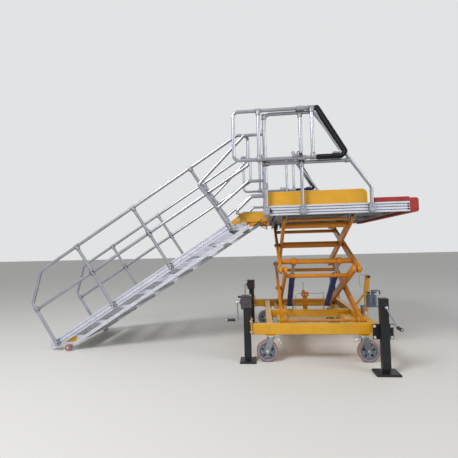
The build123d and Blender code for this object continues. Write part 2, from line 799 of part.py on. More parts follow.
# Fixed rails on each side of the platform, from the stair opening round to the right post.
def fixed_rail():
    y = -fixed_rail_y
    foot_z = side_bottom
    pieces = [bent_tube([(post_left_x, y, foot_z), (post_left_x, y, fixed_top_z),
                         (fixed_slope_x, y, fixed_top_z),
                         (post_right_x, y, deck_height + fixed_slope_low), (post_right_x, y, foot_z)],
                        rail_bend, rail_r),
              rod((post_middle_x, y, foot_z), (post_middle_x, y, fixed_top_z), rail_r),
              rod((post_left_x, y, fixed_mid_z), (slope_at(fixed_mid_z), y, fixed_mid_z), rail_r)]
    opening_post = rod((post_left_x, -opening_y, foot_z), (post_left_x, -opening_y, fixed_top_z), rail_r)
    for height in (fixed_mid_z, fixed_top_z - top_bar_drop, deck_height + fixed_low_over):
        bar = rod((post_left_x, y, height), (post_left_x, -opening_y, height), rail_r)
        pieces.append(bar - opening_post)
    for x, z in ((post_left_x, fixed_mid_z), (post_middle_x, fixed_mid_z), (post_middle_x, fixed_top_z)):
        pieces.append(rod((x - 32, y, z), (x + 32, y, z), rail_r + collar_extra))
    for x in (post_left_x, post_middle_x, post_right_x):
        pieces.append(post_foot(x))
    for bar_z in (guard_top_z, guard_bottom_z):
        pieces.append(guard_sleeve(bar_z))
    return join(pieces)


def slope_at(z):
    """Where the sloping tube of the fixed rail is at a height."""
    share = (fixed_top_z - z) / (fixed_top_over - fixed_slope_low)
    return fixed_slope_x + share * fixed_slope_run


def post_foot(x):
    """Channel clamp that holds a post against the side extrusion."""
    half = rail_r + 14
    back = -half_width
    clamp = box(x - half, x + half, -fixed_rail_y - rail_r - 2, back, side_bottom + 8, side_bottom + 92)
    return fillet(clamp.edges().filter_by(Axis.Z).group_by(Axis.Y)[0], 8)


def guard_sleeve(bar_z):
    """Sleeve on the middle post that a bar of the sliding guard runs through."""
    start = (post_middle_x - sleeve_length / 2, -guard_y, bar_z)
    end = (post_middle_x + sleeve_length / 2, -guard_y, bar_z)
    web = box(post_middle_x - 25, post_middle_x + 25, -guard_y, -fixed_rail_y, bar_z - 28, bar_z - 20)
    sleeve = rod(start, end, rail_r + 7) + web
    through = rod((start[0] - 1, start[1], start[2]), (end[0] + 1, end[1], end[2]), rail_r + 0.4)
    return sleeve - through


def entry_rail():
    """Looped hand rails at the top of the stair, fixed to the opening post."""
    y = -opening_y
    x, z = post_left_x, deck_height
    loop = bent_tube([(x, y, z + loop_top_over), (x - loop_shoulder, y, z + loop_top_over),
                      (x - loop_point, y, z + loop_point_over), (x - loop_low, y, z + loop_low_over),
                      (x - loop_return, y, z + loop_knee_over), (x, y, z + loop_knee_over)], 30, rail_r)
    knee = bent_tube([(x, y, z + entry_knee_over), (x - entry_knee_run, y, z + entry_knee_over),
                      (stair_pivot_x - 38, y, cheek_top + 5), (stair_pivot_x - 3, y, cheek_top - 12)],
                     24, rail_r)
    post = rod((x, y, side_bottom + 12), (x, y, fixed_top_z - 15), rail_r)
    foot = box(x - 24, -half_deck, y - 24, y + 24, side_bottom + 12, side_bottom + 90)
    seat = box(stair_pivot_x - 43, stair_pivot_x + 37, -opening_y - 12, -cheek_y - cheek_thick,
               cheek_top - 24, cheek_top - 12)
    return join([post, loop, knee, foot, seat])


# Stair head: yellow cheeks that carry the stringers' pivots, and the landing between them.
def cheek():
    """Bent side plate from the platform to the stair's pivots, with its two pins."""
    y = -cheek_y - cheek_thick
    round_end = Plane(origin=(stair_pivot_x, y, stair_pivot_z), z_dir=(0, 1, 0)) * Circle(46)
    plate = plate_xz([(-half_deck, cheek_low), (-half_deck, cheek_top), (stair_pivot_x + 19, cheek_top),
                      (stair_pivot_x - 30, stair_pivot_z + 35), (stair_pivot_x - 10, cheek_low - 10)],
                     y, cheek_thick) + extrude(round_end, amount=cheek_thick, dir=(0, 1, 0))
    pieces = [plate]
    for x in (stair_pivot_x, lower_pivot_x):
        pieces.append(rod((x, y - 8, stair_pivot_z), (x, -stringer_inner_y + 3, stair_pivot_z), stair_pin_r))
        pieces.append(rod((x, y - 8, stair_pivot_z), (x, y, stair_pivot_z), stair_pin_r + 10))
    pieces.append(box(-half_deck - 8, -half_deck, y - 30, -cheek_y + 70, cheek_low, plank_bottom))
    return join(pieces)


def landing():
    """Landing plate between the cheeks, level with the deck."""
    end = stair_pivot_x + landing_gap
    plate = box(end, -half_deck, -cheek_y, cheek_y, plank_bottom, deck_height - 2)
    nose = box(end, end + 12, -stringer_inner_y + side_clear, stringer_inner_y - side_clear,
               plank_bottom - 20, plank_bottom)
    return plate + nose


# Stair, drawn along its slope: `down` is the distance below the upper pivot, `up` is square to it.
def stair_point(down, up, y):
    x = stair_pivot_x - down * math.cos(slope) - up * math.sin(slope)
    z = stair_pivot_z - down * math.sin(slope) + up * math.cos(slope)
    return (x, y, z)


def sloped_bar(start_down, end_down, up, depth, bores, bore_r, y_side):
    """A flat bar along the stair's slope with rounded ends, bored for pins."""
    middle = stair_point((start_down + end_down) / 2, up, y_side * stringer_y)
    face = Plane(origin=middle, x_dir=(math.cos(slope), 0, math.sin(slope)), z_dir=(0, -1, 0)) \
        .offset(-stringer_width / 2)
    bar = extrude(face * SlotOverall(abs(end_down - start_down) + depth, depth), amount=stringer_width)
    for down in bores:
        x, y, z = stair_point(down, up, y_side * stringer_y)
        bar = bar - rod((x, y - stringer_width, z), (x, y + stringer_width, z), bore_r)
    return bar


def stringer(y_side):
    """Upper stringer: deep profile with two grooves along its outer face and a shoe at its foot."""
    bar = sloped_bar(0, stair_length, 0, stringer_depth, [], 0, y_side)
    outer = y_side * stringer_face_y
    for groove in (-24.0, 24.0):
        start = stair_point(80, groove, outer)
        end = stair_point(stair_length - 40, groove, outer)
        bar = bar - rod(start, end, 6)
    x, y, z = stair_point(0, 0, y_side * stringer_y)
    bar = bar - rod((x, y - stringer_width, z), (x, y + stringer_width, z), stair_pin_r + pin_clear)
    for down in tread_downs:
        x, y, z = stair_point(down, 0, y_side * stringer_y)
        bar = bar - rod((x, y - stringer_width, z), (x, y + stringer_width, z), tread_pin_r + pin_clear)
    return bar


def lower_rail(y_side):
    """Thin lower rail, parallel to the stringer, with the axle of the foot roller."""
    start = lower_shift
    end = start + lower_length
    downs = [down + lower_shift for down in tread_downs]
    bar = sloped_bar(start, end, -lower_drop, lower_depth, downs, tread_pin_r + pin_clear, y_side)
    x, y, z = stair_point(start, -lower_drop, y_side * stringer_y)
    bar = bar - rod((x, y - stringer_width, z), (x, y + stringer_width, z), stair_pin_r + pin_clear)
    x, y, z = stair_point(end, -lower_drop, y_side * stringer_y)
    axle_end = y_side * (stringer_face_y + roller_gap + roller_wide + 5)
    return bar + rod((x, y, z), (x, axle_end, z), roller_axle_r)


def foot_roller(y_side):
    x, y, z = stair_point(lower_shift + lower_length, -lower_drop, y_side * (stringer_face_y + roller_gap))
    ring = rod((x, y, z), (x, y + y_side * roller_wide, z), foot_roller_r)
    ring = fillet(ring.edges().filter_by(GeomType.CIRCLE), 4)
    return ring - rod((x, y - y_side, z), (x, y + y_side * (roller_wide + 1), z), roller_axle_r + pin_clear)


def tread(index):
    """A level step: ribbed top, folded front and rear edges, and end plates with the pivot pins."""
    x, _, z = stair_point(tread_downs[index], 0, 0)
    half = stringer_inner_y - side_clear
    top = z + tread_top_over_pin
    under = top - tread_plate
    front = x - tread_nose
    back = x + tread_run + tread_tail
    pan = box(front, back, -half, half, under, top)
    nose = box(front, front + 8, -half, half, top - tread_thick, under)
    tail = box(back - 8, back, -half, half, top - tread_thick, under)
    pieces = [pan, nose, tail]
    for side in (-1, 1):
        pieces.append(box(front, back, side * half, side * (half - 8), top - tread_thick, under))
        for pin_x in (x, x + tread_run):
            start = (pin_x, side * (half - 8), z)
            pieces.append(rod(start, (pin_x, side * (stringer_face_y - 2), z), tread_pin_r))
    ribs = [box(front + 12, back - 12, y - 3, y + 3, under - 16, under)
            for y in (-tread_rib_y, 0.0, tread_rib_y)]
    return join(pieces + ribs)


def handrail(y_side):
    """Stair hand rail: four posts square to the slope, top rail and knee rail with round bends."""
    y = y_side * handrail_y
    end = post_last
    rail = bent_tube([stair_point(end, 0, y), stair_point(end, corner_up, y),
                      stair_point(end - corner_run, handrail_height, y),
                      stair_point(-head_over_pivot, handrail_height, y),
                      stair_point(-head_over_pivot - 100, handrail_height - 90, y),
                      stair_point(-head_over_pivot + 110, knee_height, y), stair_point(end, knee_height, y)],
                     handrail_bend, handrail_r)
    pieces = [rail]
    for index in range(3):
        down = post_first + index * post_pitch
        pieces.append(rod(stair_point(down, 0, y), stair_point(down, handrail_height, y), handrail_r))
        for up in (knee_height, handrail_height):
            pieces.append(rod(stair_point(down - 34, up, y), stair_point(down + 34, up, y),
                              handrail_r + collar_extra))
    for index in range(4):
        pieces.append(post_clamp(post_first + index * post_pitch, y_side))
    return join(pieces)


def post_clamp(down, y_side):
    """Clamp block between a post's foot and the stringer's outer face."""
    x, y, z = stair_point(down, 0, y_side * (stringer_face_y + handrail_y) / 2)
    block = Box(60, handrail_y - stringer_face_y, 70)
    return Pos(x, y, z) * Rot(0, -stair_angle, 0) * block


# Sliding guards: a rounded frame that runs in the sleeves, with a padded nose at the bumper end.
def nose_route(start, y):
    """The nose's corners from the frame's top bar round its tip to the bottom bar."""
    drop = nose_drop * start / nose_shoulder
    return [(guard_right_x + start, y, guard_top_z - drop),
            (guard_right_x + nose_shoulder, y, guard_top_z - nose_drop),
            (nose_tip_x - nose_tip_back, y, nose_tip_z), (nose_tip_x - nose_low_back, y, guard_bottom_z),
            (guard_right_x + start, y, guard_bottom_z)]


def nose_brace(y):
    """Thin tube that seats along the foam inside the nose, from the upright to its bent end at the tip."""
    top, tip = nose_route(0, y)[1], nose_route(0, y)[2]
    length = math.hypot(tip[0] - top[0], tip[2] - top[2])
    along_x, along_z = (tip[0] - top[0]) / length, (tip[2] - top[2]) / length
    inward = foam_r + brace_r + face_clear
    start_x, start_z = top[0] + inward * along_z, top[2] - inward * along_x
    end_z = guard_bottom_z + inward
    end_x = start_x + (end_z - start_z) * along_x / along_z
    upright_z = start_z + (guard_right_x - start_x) * along_z / along_x
    return bent_tube([(guard_right_x, y, upright_z), (end_x, y, end_z), (end_x - brace_return, y, end_z)],
                     brace_bend, brace_r)


def guard_frame():
    y = -guard_y
    frame = bent_tube([(guard_middle_x, y, guard_bottom_z), (guard_left_x, y, guard_bottom_z),
                       (guard_left_x, y, guard_top_z), (guard_right_x, y, guard_top_z)], guard_bend, rail_r)
    pieces = [frame,
              rod((guard_middle_x, y, guard_bottom_z), (guard_right_x, y, guard_bottom_z), rail_r),
              rod((guard_right_x, y, guard_bottom_z), (guard_right_x, y, guard_top_z), rail_r),
              rod((inner_upright_x, y, guard_bottom_z), (inner_upright_x, y, guard_top_z), rail_r)]
    for x in (inner_upright_x, guard_right_x):
        for z in (guard_bottom_z, guard_top_z):
            pieces.append(rod((x - 30, y, z), (x + 30, y, z), rail_r + collar_extra))
            up = 30 if z == guard_bottom_z else -30
            pieces.append(rod((x, y, z), (x, y, z + up), rail_r + collar_extra))
    pieces.append(nose_brace(y))
    return join(pieces + [bent_tube(nose_route(0, y), nose_bend, nose_r)])


def guard_pad():
    """Foam round the nose tube, on its top, slope, tip and bottom."""
    route = nose_route(foam_start, -guard_y)
    return bent_tube(route, nose_bend, foam_r) - bent_tube(route, nose_bend, nose_r + face_clear)


# Drawbar: towing handle folded upright at the middle of the right end.
def drawbar():
    """A flat bar with two slight knees, a boss round its pin and a cross handle."""
    low, high = drawbar_low_knee, drawbar_high_knee
    line = [(0, -drawbar_heel), low, high, (drawbar_tip, drawbar_length)]
    half = drawbar_width / 2
    outline = [(drawbar_x + x - half, drawbar_z + z) for x, z in line]
    outline += [(drawbar_x + x + half, drawbar_z + z) for x, z in reversed(line)]
    bar = plate_xz(outline, -drawbar_thick / 2, drawbar_thick)
    handle_x = drawbar_x + drawbar_tip
    handle_z = drawbar_z + drawbar_length - handle_r
    boss_y = drawbar_cheek - side_clear
    pieces = [bar,
              rod((drawbar_x, -boss_y, drawbar_z), (drawbar_x, boss_y, drawbar_z), 28),
              rod((handle_x, -handle_half, handle_z), (handle_x, handle_half, handle_z), handle_r)]
    bore = rod((drawbar_x, -drawbar_cheek, drawbar_z), (drawbar_x, drawbar_cheek, drawbar_z),
               drawbar_pin_r + pin_clear)
    return join(pieces) - bore


def drawbar_stay():
    """A slanting strut on the outrigger beam that the upright towing handle leans against."""
    stop_x = drawbar_x + drawbar_high_knee[0] - drawbar_width / 2 - stay_gap
    low_z = rail_top - 2
    high_z = rail_top + stay_rise
    return plate_xz([(beam_x, low_z), (beam_x + stay_foot, low_z), (stop_x, high_z),
                     (stop_x, high_z + stay_end), (stop_x - 8, high_z + stay_end)],
                    -stay_thick / 2, stay_thick)


save("chassis_frame", chassis())
save("caster_plates", *[caster_top(x, side * rail_y) for _, x, side, _ in caster_places])
for name, x, side, trail in caster_places:
    save(f"caster_fork_{name}", caster_fork(x, side * rail_y, trail * caster_trail))
    wheel_x = x + trail * caster_trail
    tyre = wheel_ring(wheel_x, side * rail_y, wheel_r, wheel_r - tyre_thick, wheel_width, tyre_round)
    save(f"caster_tyre_{name}", tyre)
    save(f"caster_hub_{name}", wheel_hub(wheel_x, side * rail_y))

save("jack_tubes", *[jack_body(x, y, out_x, out_y) for _, x, y, out_x, out_y in jack_places])
save("jack_cranks", *[jack_crank(x, y, out_x, out_y, 5 if out_x else 25)
                      for _, x, y, out_x, out_y in jack_places])
for name, x, y, out_x, _ in jack_places:
    save(f"jack_leg_{name}", jack_leg(x, y, left_foot_width if out_x else right_foot_width))

save("hand_pump", pump())
save("drawbar", drawbar())

for name, start, end, outer, tubes, bores, pins in arm_frames:
    save(name, arm_frame(start, end, outer, tubes, bores, pins))
save("base_rollers", *rollers(base_far, ((inner_left_x, -1), (inner_right_x, 1)), roller_r))
save("deck_rollers", *rollers(top_far, ((outer_left_x, 1), (outer_right_x, -1)), roller_r))
cylinder_places = [lift_middle_x + side * cylinder_offset for side in (-1, 1)]
save("cylinder_barrels", *[cylinder_barrel(x) for x in cylinder_places])
save("cylinder_rods", *[cylinder_rod(x) for x in cylinder_places])

save("platform_frame", platform_frame())
save("deck_planks", deck())
save("side_extrusions", *mirrored(side_extrusion()))
save("toe_boards", *mirrored(toe_board()), *mirrored(end_board()))
save("bumper", bumper())
save("edge_pads", *mirrored(edge_pad()))
save("fixed_rails", *mirrored(fixed_rail()))
save("entry_rails", *mirrored(entry_rail()))
save("stair_cheeks", *mirrored(cheek()))
save("landing_plate", landing())

save("stair_stringers", stringer(-1), stringer(1))
save("stair_handrails", handrail(-1), handrail(1))
save("stair_lower_rails", lower_rail(-1), lower_rail(1))
save("stair_foot_rollers", foot_roller(-1), foot_roller(1))
for index in range(tread_count):
    save(f"stair_tread_{index + 1}", tread(index))

for name, side in (("near", -1), ("far", 1)):
    frame, pad = guard_frame(), guard_pad()
    if side > 0:
        frame, pad = mirror(frame, about=Plane.XZ), mirror(pad, about=Plane.XZ)
    save(f"guard_frame_{name}", frame)
    save(f"guard_pad_{name}", pad)
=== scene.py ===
import math
import bmesh
import bpy
from mathutils import Matrix, Vector


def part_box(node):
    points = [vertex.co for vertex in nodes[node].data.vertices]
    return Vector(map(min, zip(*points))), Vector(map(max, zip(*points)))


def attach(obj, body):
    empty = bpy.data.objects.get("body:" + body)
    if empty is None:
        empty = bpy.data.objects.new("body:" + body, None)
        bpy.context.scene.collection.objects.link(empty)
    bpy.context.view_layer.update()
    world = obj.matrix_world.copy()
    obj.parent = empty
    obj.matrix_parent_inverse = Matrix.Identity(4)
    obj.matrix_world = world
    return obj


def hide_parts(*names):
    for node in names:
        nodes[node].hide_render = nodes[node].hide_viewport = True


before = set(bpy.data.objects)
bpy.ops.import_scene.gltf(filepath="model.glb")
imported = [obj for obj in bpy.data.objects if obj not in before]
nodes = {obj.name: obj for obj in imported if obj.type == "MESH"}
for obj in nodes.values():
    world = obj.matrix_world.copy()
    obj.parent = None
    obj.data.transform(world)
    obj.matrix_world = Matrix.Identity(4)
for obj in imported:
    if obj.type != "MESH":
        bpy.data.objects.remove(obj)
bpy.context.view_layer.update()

# the source measures x from the middle of the platform, in millimetres
deckLow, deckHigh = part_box("deck_planks")
middleX = (deckLow[0] + deckHigh[0]) / 2


# one helper turns hex to linear colour, one adds a node and one adds an object

def linearFromHex(hexText):
    channels = [int(hexText[i:i + 2], 16) / 255 for i in (1, 3, 5)]
    return [c / 12.92 if c <= 0.04045 else ((c + 0.055) / 1.055) ** 2.4 for c in channels] + [1.0]


def addNode(tree, kind, settings=None, links=None):
    node = tree.nodes.new(kind)
    for key, value in (settings or {}).items():
        if isinstance(key, str) and hasattr(node, key):
            setattr(node, key, value)
        else:
            node.inputs[key].default_value = value
    for key, source in (links or {}).items():
        tree.links.new(source, node.inputs[key])
    return node


def addObject(name, data):
    thing = bpy.data.objects.new(name, data)
    bpy.context.scene.collection.objects.link(thing)
    return thing


# what a surface has where its own dictionary says nothing else; every pattern's size is in millimetres
plainLook = {"stretch": (1, 1, 1), "metallic": 0.0, "edgeMm": 1.5, "grainStrength": 0.3,
             "dirtMm": 90, "dirtHigh": 0.05, "wearMm": 14}


def makeSurface(name, look):
    # one finish: base colour with slow mottling, dirt from the floor up, worn edges, painted shade in hollows, fine
    # grain
    look = {**plainLook, **look}
    material = bpy.data.materials.new(name)
    material.use_nodes = True
    tree = material.node_tree
    tree.nodes.clear()
    coords = addNode(tree, "ShaderNodeTexCoord")
    stretched = addNode(tree, "ShaderNodeMapping", {"Scale": look["stretch"]}, {"Vector": coords.outputs["Object"]})
    mottle = addNode(tree, "ShaderNodeTexNoise",
                     {"Scale": 1000 / look["mottleMm"], "Detail": 4.0, "Roughness": 0.6},
                     {"Vector": stretched.outputs["Vector"]})
    spread = addNode(tree, "ShaderNodeMapRange", {"From Min": 0.35, "From Max": 0.68},
                     {"Value": mottle.outputs["Fac"]})
    colour = addNode(tree, "ShaderNodeMix",
                     {"data_type": "RGBA", 6: linearFromHex(look["base"]), 7: linearFromHex(look["second"])},
                     {0: spread.outputs["Result"]}).outputs[2]
    if "dirtHex" in look:
        # handled and floor-side surfaces gather dirt in soft patches, heaviest low down
        height = addNode(tree, "ShaderNodeSeparateXYZ", {}, {"Vector": coords.outputs["Object"]})
        low = addNode(tree, "ShaderNodeMapRange",
                      {"interpolation_type": "SMOOTHSTEP", "From Min": 0.0, "From Max": look["dirtTop"],
                       "To Min": look["dirt"], "To Max": look["dirtHigh"]},
                      {"Value": height.outputs["Z"]})
        patch = addNode(tree, "ShaderNodeTexNoise",
                        {"Scale": 1000 / look["dirtMm"], "Detail": 6.0, "Roughness": 0.7},
                        {"Vector": coords.outputs["Object"]})
        patchy = addNode(tree, "ShaderNodeMapRange", {"From Min": 0.38, "From Max": 0.62},
                         {"Value": patch.outputs["Fac"]})
        amount = addNode(tree, "ShaderNodeMath", {"operation": "MULTIPLY"},
                         {0: low.outputs["Result"], 1: patchy.outputs["Result"]})
        colour = addNode(tree, "ShaderNodeMix", {"data_type": "RGBA", 7: linearFromHex(look["dirtHex"])},
                         {0: amount.outputs["Value"], 6: colour}).outputs[2]
    rounded = addNode(tree, "ShaderNodeBevel", {"samples": 6, "Radius": look["edgeMm"] / 1000})
    if "wearHex" in look:
        # paint rubs through where the rounded normal leaves the flat one, broken up by noise
        flat = addNode(tree, "ShaderNodeNewGeometry")
        turn = addNode(tree, "ShaderNodeVectorMath", {"operation": "DOT_PRODUCT"},
                       {0: rounded.outputs["Normal"], 1: flat.outputs["True Normal"]})
        edge = addNode(tree, "ShaderNodeMapRange", {"From Min": 0.97, "From Max": 0.86},
                       {"Value": turn.outputs["Value"]})
        chips = addNode(tree, "ShaderNodeTexNoise",
                        {"Scale": 1000 / look["wearMm"], "Detail": 5.0, "Roughness": 0.75},
                        {"Vector": coords.outputs["Object"]})
        broken = addNode(tree, "ShaderNodeMapRange", {"From Min": 0.53, "From Max": 0.60},
                         {"Value": chips.outputs["Fac"]})
        worn = addNode(tree, "ShaderNodeMath", {"operation": "MULTIPLY"},
                       {0: edge.outputs["Result"], 1: broken.outputs["Result"]})
        colour = addNode(tree, "ShaderNodeMix", {"data_type": "RGBA", 7: linearFromHex(look["wearHex"])},
                         {0: worn.outputs["Value"], 6: colour}).outputs[2]
    if "hollowShadeHex" in look:
        # painted shade: the colour darkens in grooves, seams and inner corners, as far as the occlusion node finds
        # them shut in
        hollow = addNode(tree, "ShaderNodeAmbientOcclusion", {"samples": 8, "Distance": look["hollowShadeMm"] / 1000})
        depth = addNode(tree, "ShaderNodeMapRange", {"From Min": 0.88, "From Max": 0.42, "To Max": look["hollowShade"]},
                        {"Value": hollow.outputs["AO"]})
        colour = addNode(tree, "ShaderNodeMix", {"data_type": "RGBA", 7: linearFromHex(look["hollowShadeHex"])},
                         {0: depth.outputs["Result"], 6: colour}).outputs[2]
    grain = addNode(tree, "ShaderNodeTexNoise", {"Scale": 1000 / look["grainMm"], "Detail": 3.0},
                    {"Vector": stretched.outputs["Vector"]})
    rough = addNode(tree, "ShaderNodeMapRange",
                    {"From Min": 0.3, "From Max": 0.7, "To Min": look["rough"][0], "To Max": look["rough"][1]},
                    {"Value": grain.outputs["Fac"]})
    bump = addNode(tree, "ShaderNodeBump",
                   {"Strength": look["grainStrength"], "Distance": look["grainDepthMm"] / 1000},
                   {"Height": grain.outputs["Fac"], "Normal": rounded.outputs["Normal"]})
    shader = addNode(tree, "ShaderNodeBsdfPrincipled", {"Metallic": look["metallic"]},
                     {"Base Color": colour, "Roughness": rough.outputs["Result"], "Normal": bump.outputs["Normal"]})
    if "ior" in look:  # metals keep the default
        shader.inputs["IOR"].default_value = look["ior"]
    addNode(tree, "ShaderNodeOutputMaterial", {}, {"Surface": shader.outputs["BSDF"]})
    return material


# the hollow colours and reaches in the looks below paint shade into grooves, seams and inner corners
# sprayed two-pack enamel on welded steel: smooth and glossy, orange-peel 3 mm across, chipped at corners
chassisEnamel = makeSurface("sprayedGoldenEnamel", {
    "base": "#DEA620", "second": "#D49916", "mottleMm": 420, "rough": (0.26, 0.42), "grainMm": 3.0,
    "grainDepthMm": 0.05, "dirt": 0.2, "dirtTop": 0.9, "dirtHex": "#7E6536", "wearHex": "#4A3A28",
    "hollowShade": 0.55, "hollowShadeMm": 22, "hollowShadeHex": "#5A3F18", "ior": 1.5})
# the same enamel on the arms, a shade browner where hydraulic oil and rubber dust have settled
armEnamel = makeSurface("sprayedOrangeEnamel", {
    "base": "#DC8D16", "second": "#CC7D10", "mottleMm": 300, "rough": (0.26, 0.45), "grainMm": 3.0,
    "grainDepthMm": 0.05, "dirt": 0.32, "dirtTop": 2.2, "dirtHex": "#654A22", "wearHex": "#47372A",
    "hollowShade": 0.6, "hollowShadeMm": 26, "hollowShadeHex": "#553612", "ior": 1.5})
# powder coat baked on sheet steel: softer gloss than the enamel, clean lemon-gold
yellowPowderCoat = makeSurface("bakedYellowPowderCoat", {
    "base": "#D9A128", "second": "#CE951C", "mottleMm": 260, "rough": (0.34, 0.5), "grainMm": 2.0,
    "grainDepthMm": 0.05, "dirt": 0.3, "dirtTop": 2.4, "dirtHex": "#8A6A34", "wearHex": "#6B5A3A", "ior": 1.5})
# black machine enamel on the jack tubes: satin, greyed by dust
blackEnamel = makeSurface("satinBlackMachineEnamel", {
    "base": "#0C0E12", "second": "#13161B", "mottleMm": 150, "rough": (0.36, 0.55), "grainMm": 2.5,
    "grainDepthMm": 0.05, "dirt": 0.12, "dirtTop": 0.4, "dirtHex": "#46423B", "wearHex": "#6C6B68", "ior": 1.45})
# cast iron gearbox under grey primer: coarse sand-cast skin with 3.5 mm grain
castGearGrey = makeSurface("primedCastIron", {
    "base": "#3C383D", "second": "#4A464B", "mottleMm": 70, "rough": (0.5, 0.7), "grainMm": 3.5,
    "grainDepthMm": 0.3, "dirt": 0.3, "dirtTop": 1.0, "dirtHex": "#57493A", "wearHex": "#8A8886", "ior": 1.5})
# blue hammer-smooth enamel on drawn steel barrels: high gloss with a faint haze of oil
blueEnamel = makeSurface("glossBlueEnamel", {
    "base": "#1B3F9C", "second": "#163585", "mottleMm": 120, "rough": (0.2, 0.34), "grainMm": 3.0,
    "grainDepthMm": 0.04, "dirt": 0.3, "dirtTop": 1.3, "dirtHex": "#2A3348", "wearHex": "#3A3F4C", "ior": 1.5})
# grey enamel on the pump's pressed tank: glossy, dulled in patches
greyEnamel = makeSurface("glossGreyEnamel", {
    "base": "#657084", "second": "#596478", "mottleMm": 90, "rough": (0.25, 0.4), "grainMm": 3.0,
    "grainDepthMm": 0.04, "dirt": 0.3, "dirtTop": 0.9, "dirtHex": "#4B4A46", "wearHex": "#3E4248", "ior": 1.5})
# hard chrome, ground and polished: a clean mirror
hardChrome = makeSurface("groundHardChrome", {
    "base": "#D4D6DA", "second": "#C9CBD0", "mottleMm": 60, "rough": (0.08, 0.16), "grainMm": 1.5,
    "grainDepthMm": 0.01, "metallic": 1.0})
# bright zinc plate on pressed steel: cool grey with a faint spangle 25 mm across
zincPlate = makeSurface("brightZincPlate", {
    "base": "#AEB4BA", "second": "#8E959C", "mottleMm": 25, "rough": (0.3, 0.48), "grainMm": 4.0,
    "grainDepthMm": 0.03, "metallic": 0.9, "dirt": 0.4, "dirtTop": 0.4, "dirtHex": "#5A5146"})
# turned steel of pins, rollers and nuts under a film of oil: darker and smoother than the zinc
oiledSteel = makeSurface("turnedOiledSteel", {
    "base": "#8F8F8C", "second": "#6F6E6A", "mottleMm": 30, "rough": (0.25, 0.4), "grainMm": 1.2,
    "grainDepthMm": 0.02, "metallic": 1.0})
# anodised extruded tube: pale satin aluminium; its drawn lines are too fine to show and stand as even grain
anodisedTube = makeSurface("anodisedAluminiumTube", {
    "base": "#B4B5BE", "second": "#A4A5AE", "mottleMm": 200, "rough": (0.24, 0.36), "grainMm": 2.5,
    "grainDepthMm": 0.02, "metallic": 0.85, "dirt": 0.2, "dirtTop": 2.9, "dirtHex": "#6E6C6A", "dirtHigh": 0.14,
    "hollowShade": 0.6, "hollowShadeMm": 14, "hollowShadeHex": "#4C4B52"})
# mill-finish extruded profile: the die's streaks, drawn 4 mm apart and 25 times as long so that they show
millExtrusion = makeSurface("millFinishExtrusion", {
    "base": "#DCDFEA", "second": "#CBCEDA", "mottleMm": 30, "stretch": (0.04, 1, 1), "rough": (0.42, 0.54),
    "grainMm": 4.0, "grainDepthMm": 0.03, "metallic": 0.5, "dirt": 0.2, "dirtTop": 2.4, "dirtHex": "#7E7B78",
    "dirtHigh": 0.1, "hollowShade": 0.9, "hollowShadeMm": 12, "hollowShadeHex": "#2C2D34"})
# rolled aluminium planking: dull, scuffed by shoes
deckAluminium = makeSurface("rolledAluminiumPlank", {
    "base": "#B2B4B8", "second": "#A7A9AD", "mottleMm": 60, "rough": (0.4, 0.56), "grainMm": 3.0,
    "grainDepthMm": 0.05, "metallic": 0.7, "dirt": 0.25, "dirtTop": 2.4, "dirtHex": "#7A766F", "dirtHigh": 0.14,
    "hollowShade": 0.7, "hollowShadeMm": 8, "hollowShadeHex": "#3E3C3C"})
# welded aluminium under the deck, left bare: grey and matt with oxide
dullAluminium = makeSurface("oxidisedAluminium", {
    "base": "#A3A6A9", "second": "#8D9093", "mottleMm": 110, "rough": (0.46, 0.62), "grainMm": 3.0,
    "grainDepthMm": 0.05, "metallic": 0.6, "dirt": 0.3, "dirtTop": 2.0, "dirtHex": "#5E5A52", "dirtHigh": 0.15})
# sand-cast aluminium of the rail fittings: slightly darker than the tube, 3 mm skin grain
castAluminium = makeSurface("sandCastAluminium", {
    "base": "#A2A3AA", "second": "#909198", "mottleMm": 35, "rough": (0.4, 0.58), "grainMm": 3.0,
    "grainDepthMm": 0.15, "metallic": 0.7, "hollowShade": 0.7, "hollowShadeMm": 9, "hollowShadeHex": "#3C3B40"})
# moulded red rubber: matt, bloomed and scuffed
redRubber = makeSurface("mouldedRedRubber", {
    "base": "#A82A2A", "second": "#8E2024", "mottleMm": 80, "rough": (0.55, 0.75), "grainMm": 3.0,
    "grainDepthMm": 0.12, "dirt": 0.35, "dirtTop": 2.2, "dirtHex": "#4A2A28", "dirtHigh": 0.2, "ior": 1.5})
# cast polyurethane tread: brownish pink, satin, greyed where it rolls
castPolyurethane = makeSurface("castPolyurethaneTread", {
    "base": "#A9776E", "second": "#98685F", "mottleMm": 40, "rough": (0.4, 0.58), "grainMm": 3.0,
    "grainDepthMm": 0.06, "dirt": 0.45, "dirtTop": 0.3, "dirtHex": "#6B5750", "ior": 1.5})
# blue-grey enamel on the cast wheel centres: satin, with painted shade between the spokes
hubEnamel = makeSurface("greyWheelEnamel", {
    "base": "#8E97A6", "second": "#7E8896", "mottleMm": 40, "rough": (0.34, 0.5), "grainMm": 3.0,
    "grainDepthMm": 0.06, "dirt": 0.5, "dirtTop": 0.3, "dirtHex": "#4E4B48", "wearHex": "#5B6068",
    "hollowShade": 0.9, "hollowShadeMm": 26, "hollowShadeHex": "#24262C", "ior": 1.5})
# moulded black rubber of wipers and grips: matt, dusty low down
blackRubber = makeSurface("mouldedBlackRubber", {
    "base": "#26262A", "second": "#303035", "mottleMm": 50, "rough": (0.6, 0.8), "grainMm": 2.5,
    "grainDepthMm": 0.08, "dirt": 0.3, "dirtTop": 0.4, "dirtHex": "#55504A", "ior": 1.5})
# black nylon of knobs and clips, moulded smooth: an even satin
blackNylon = makeSurface("mouldedBlackNylon", {
    "base": "#1E1F22", "second": "#27282C", "mottleMm": 30, "rough": (0.36, 0.48), "grainMm": 2.0,
    "grainDepthMm": 0.03, "ior": 1.53})
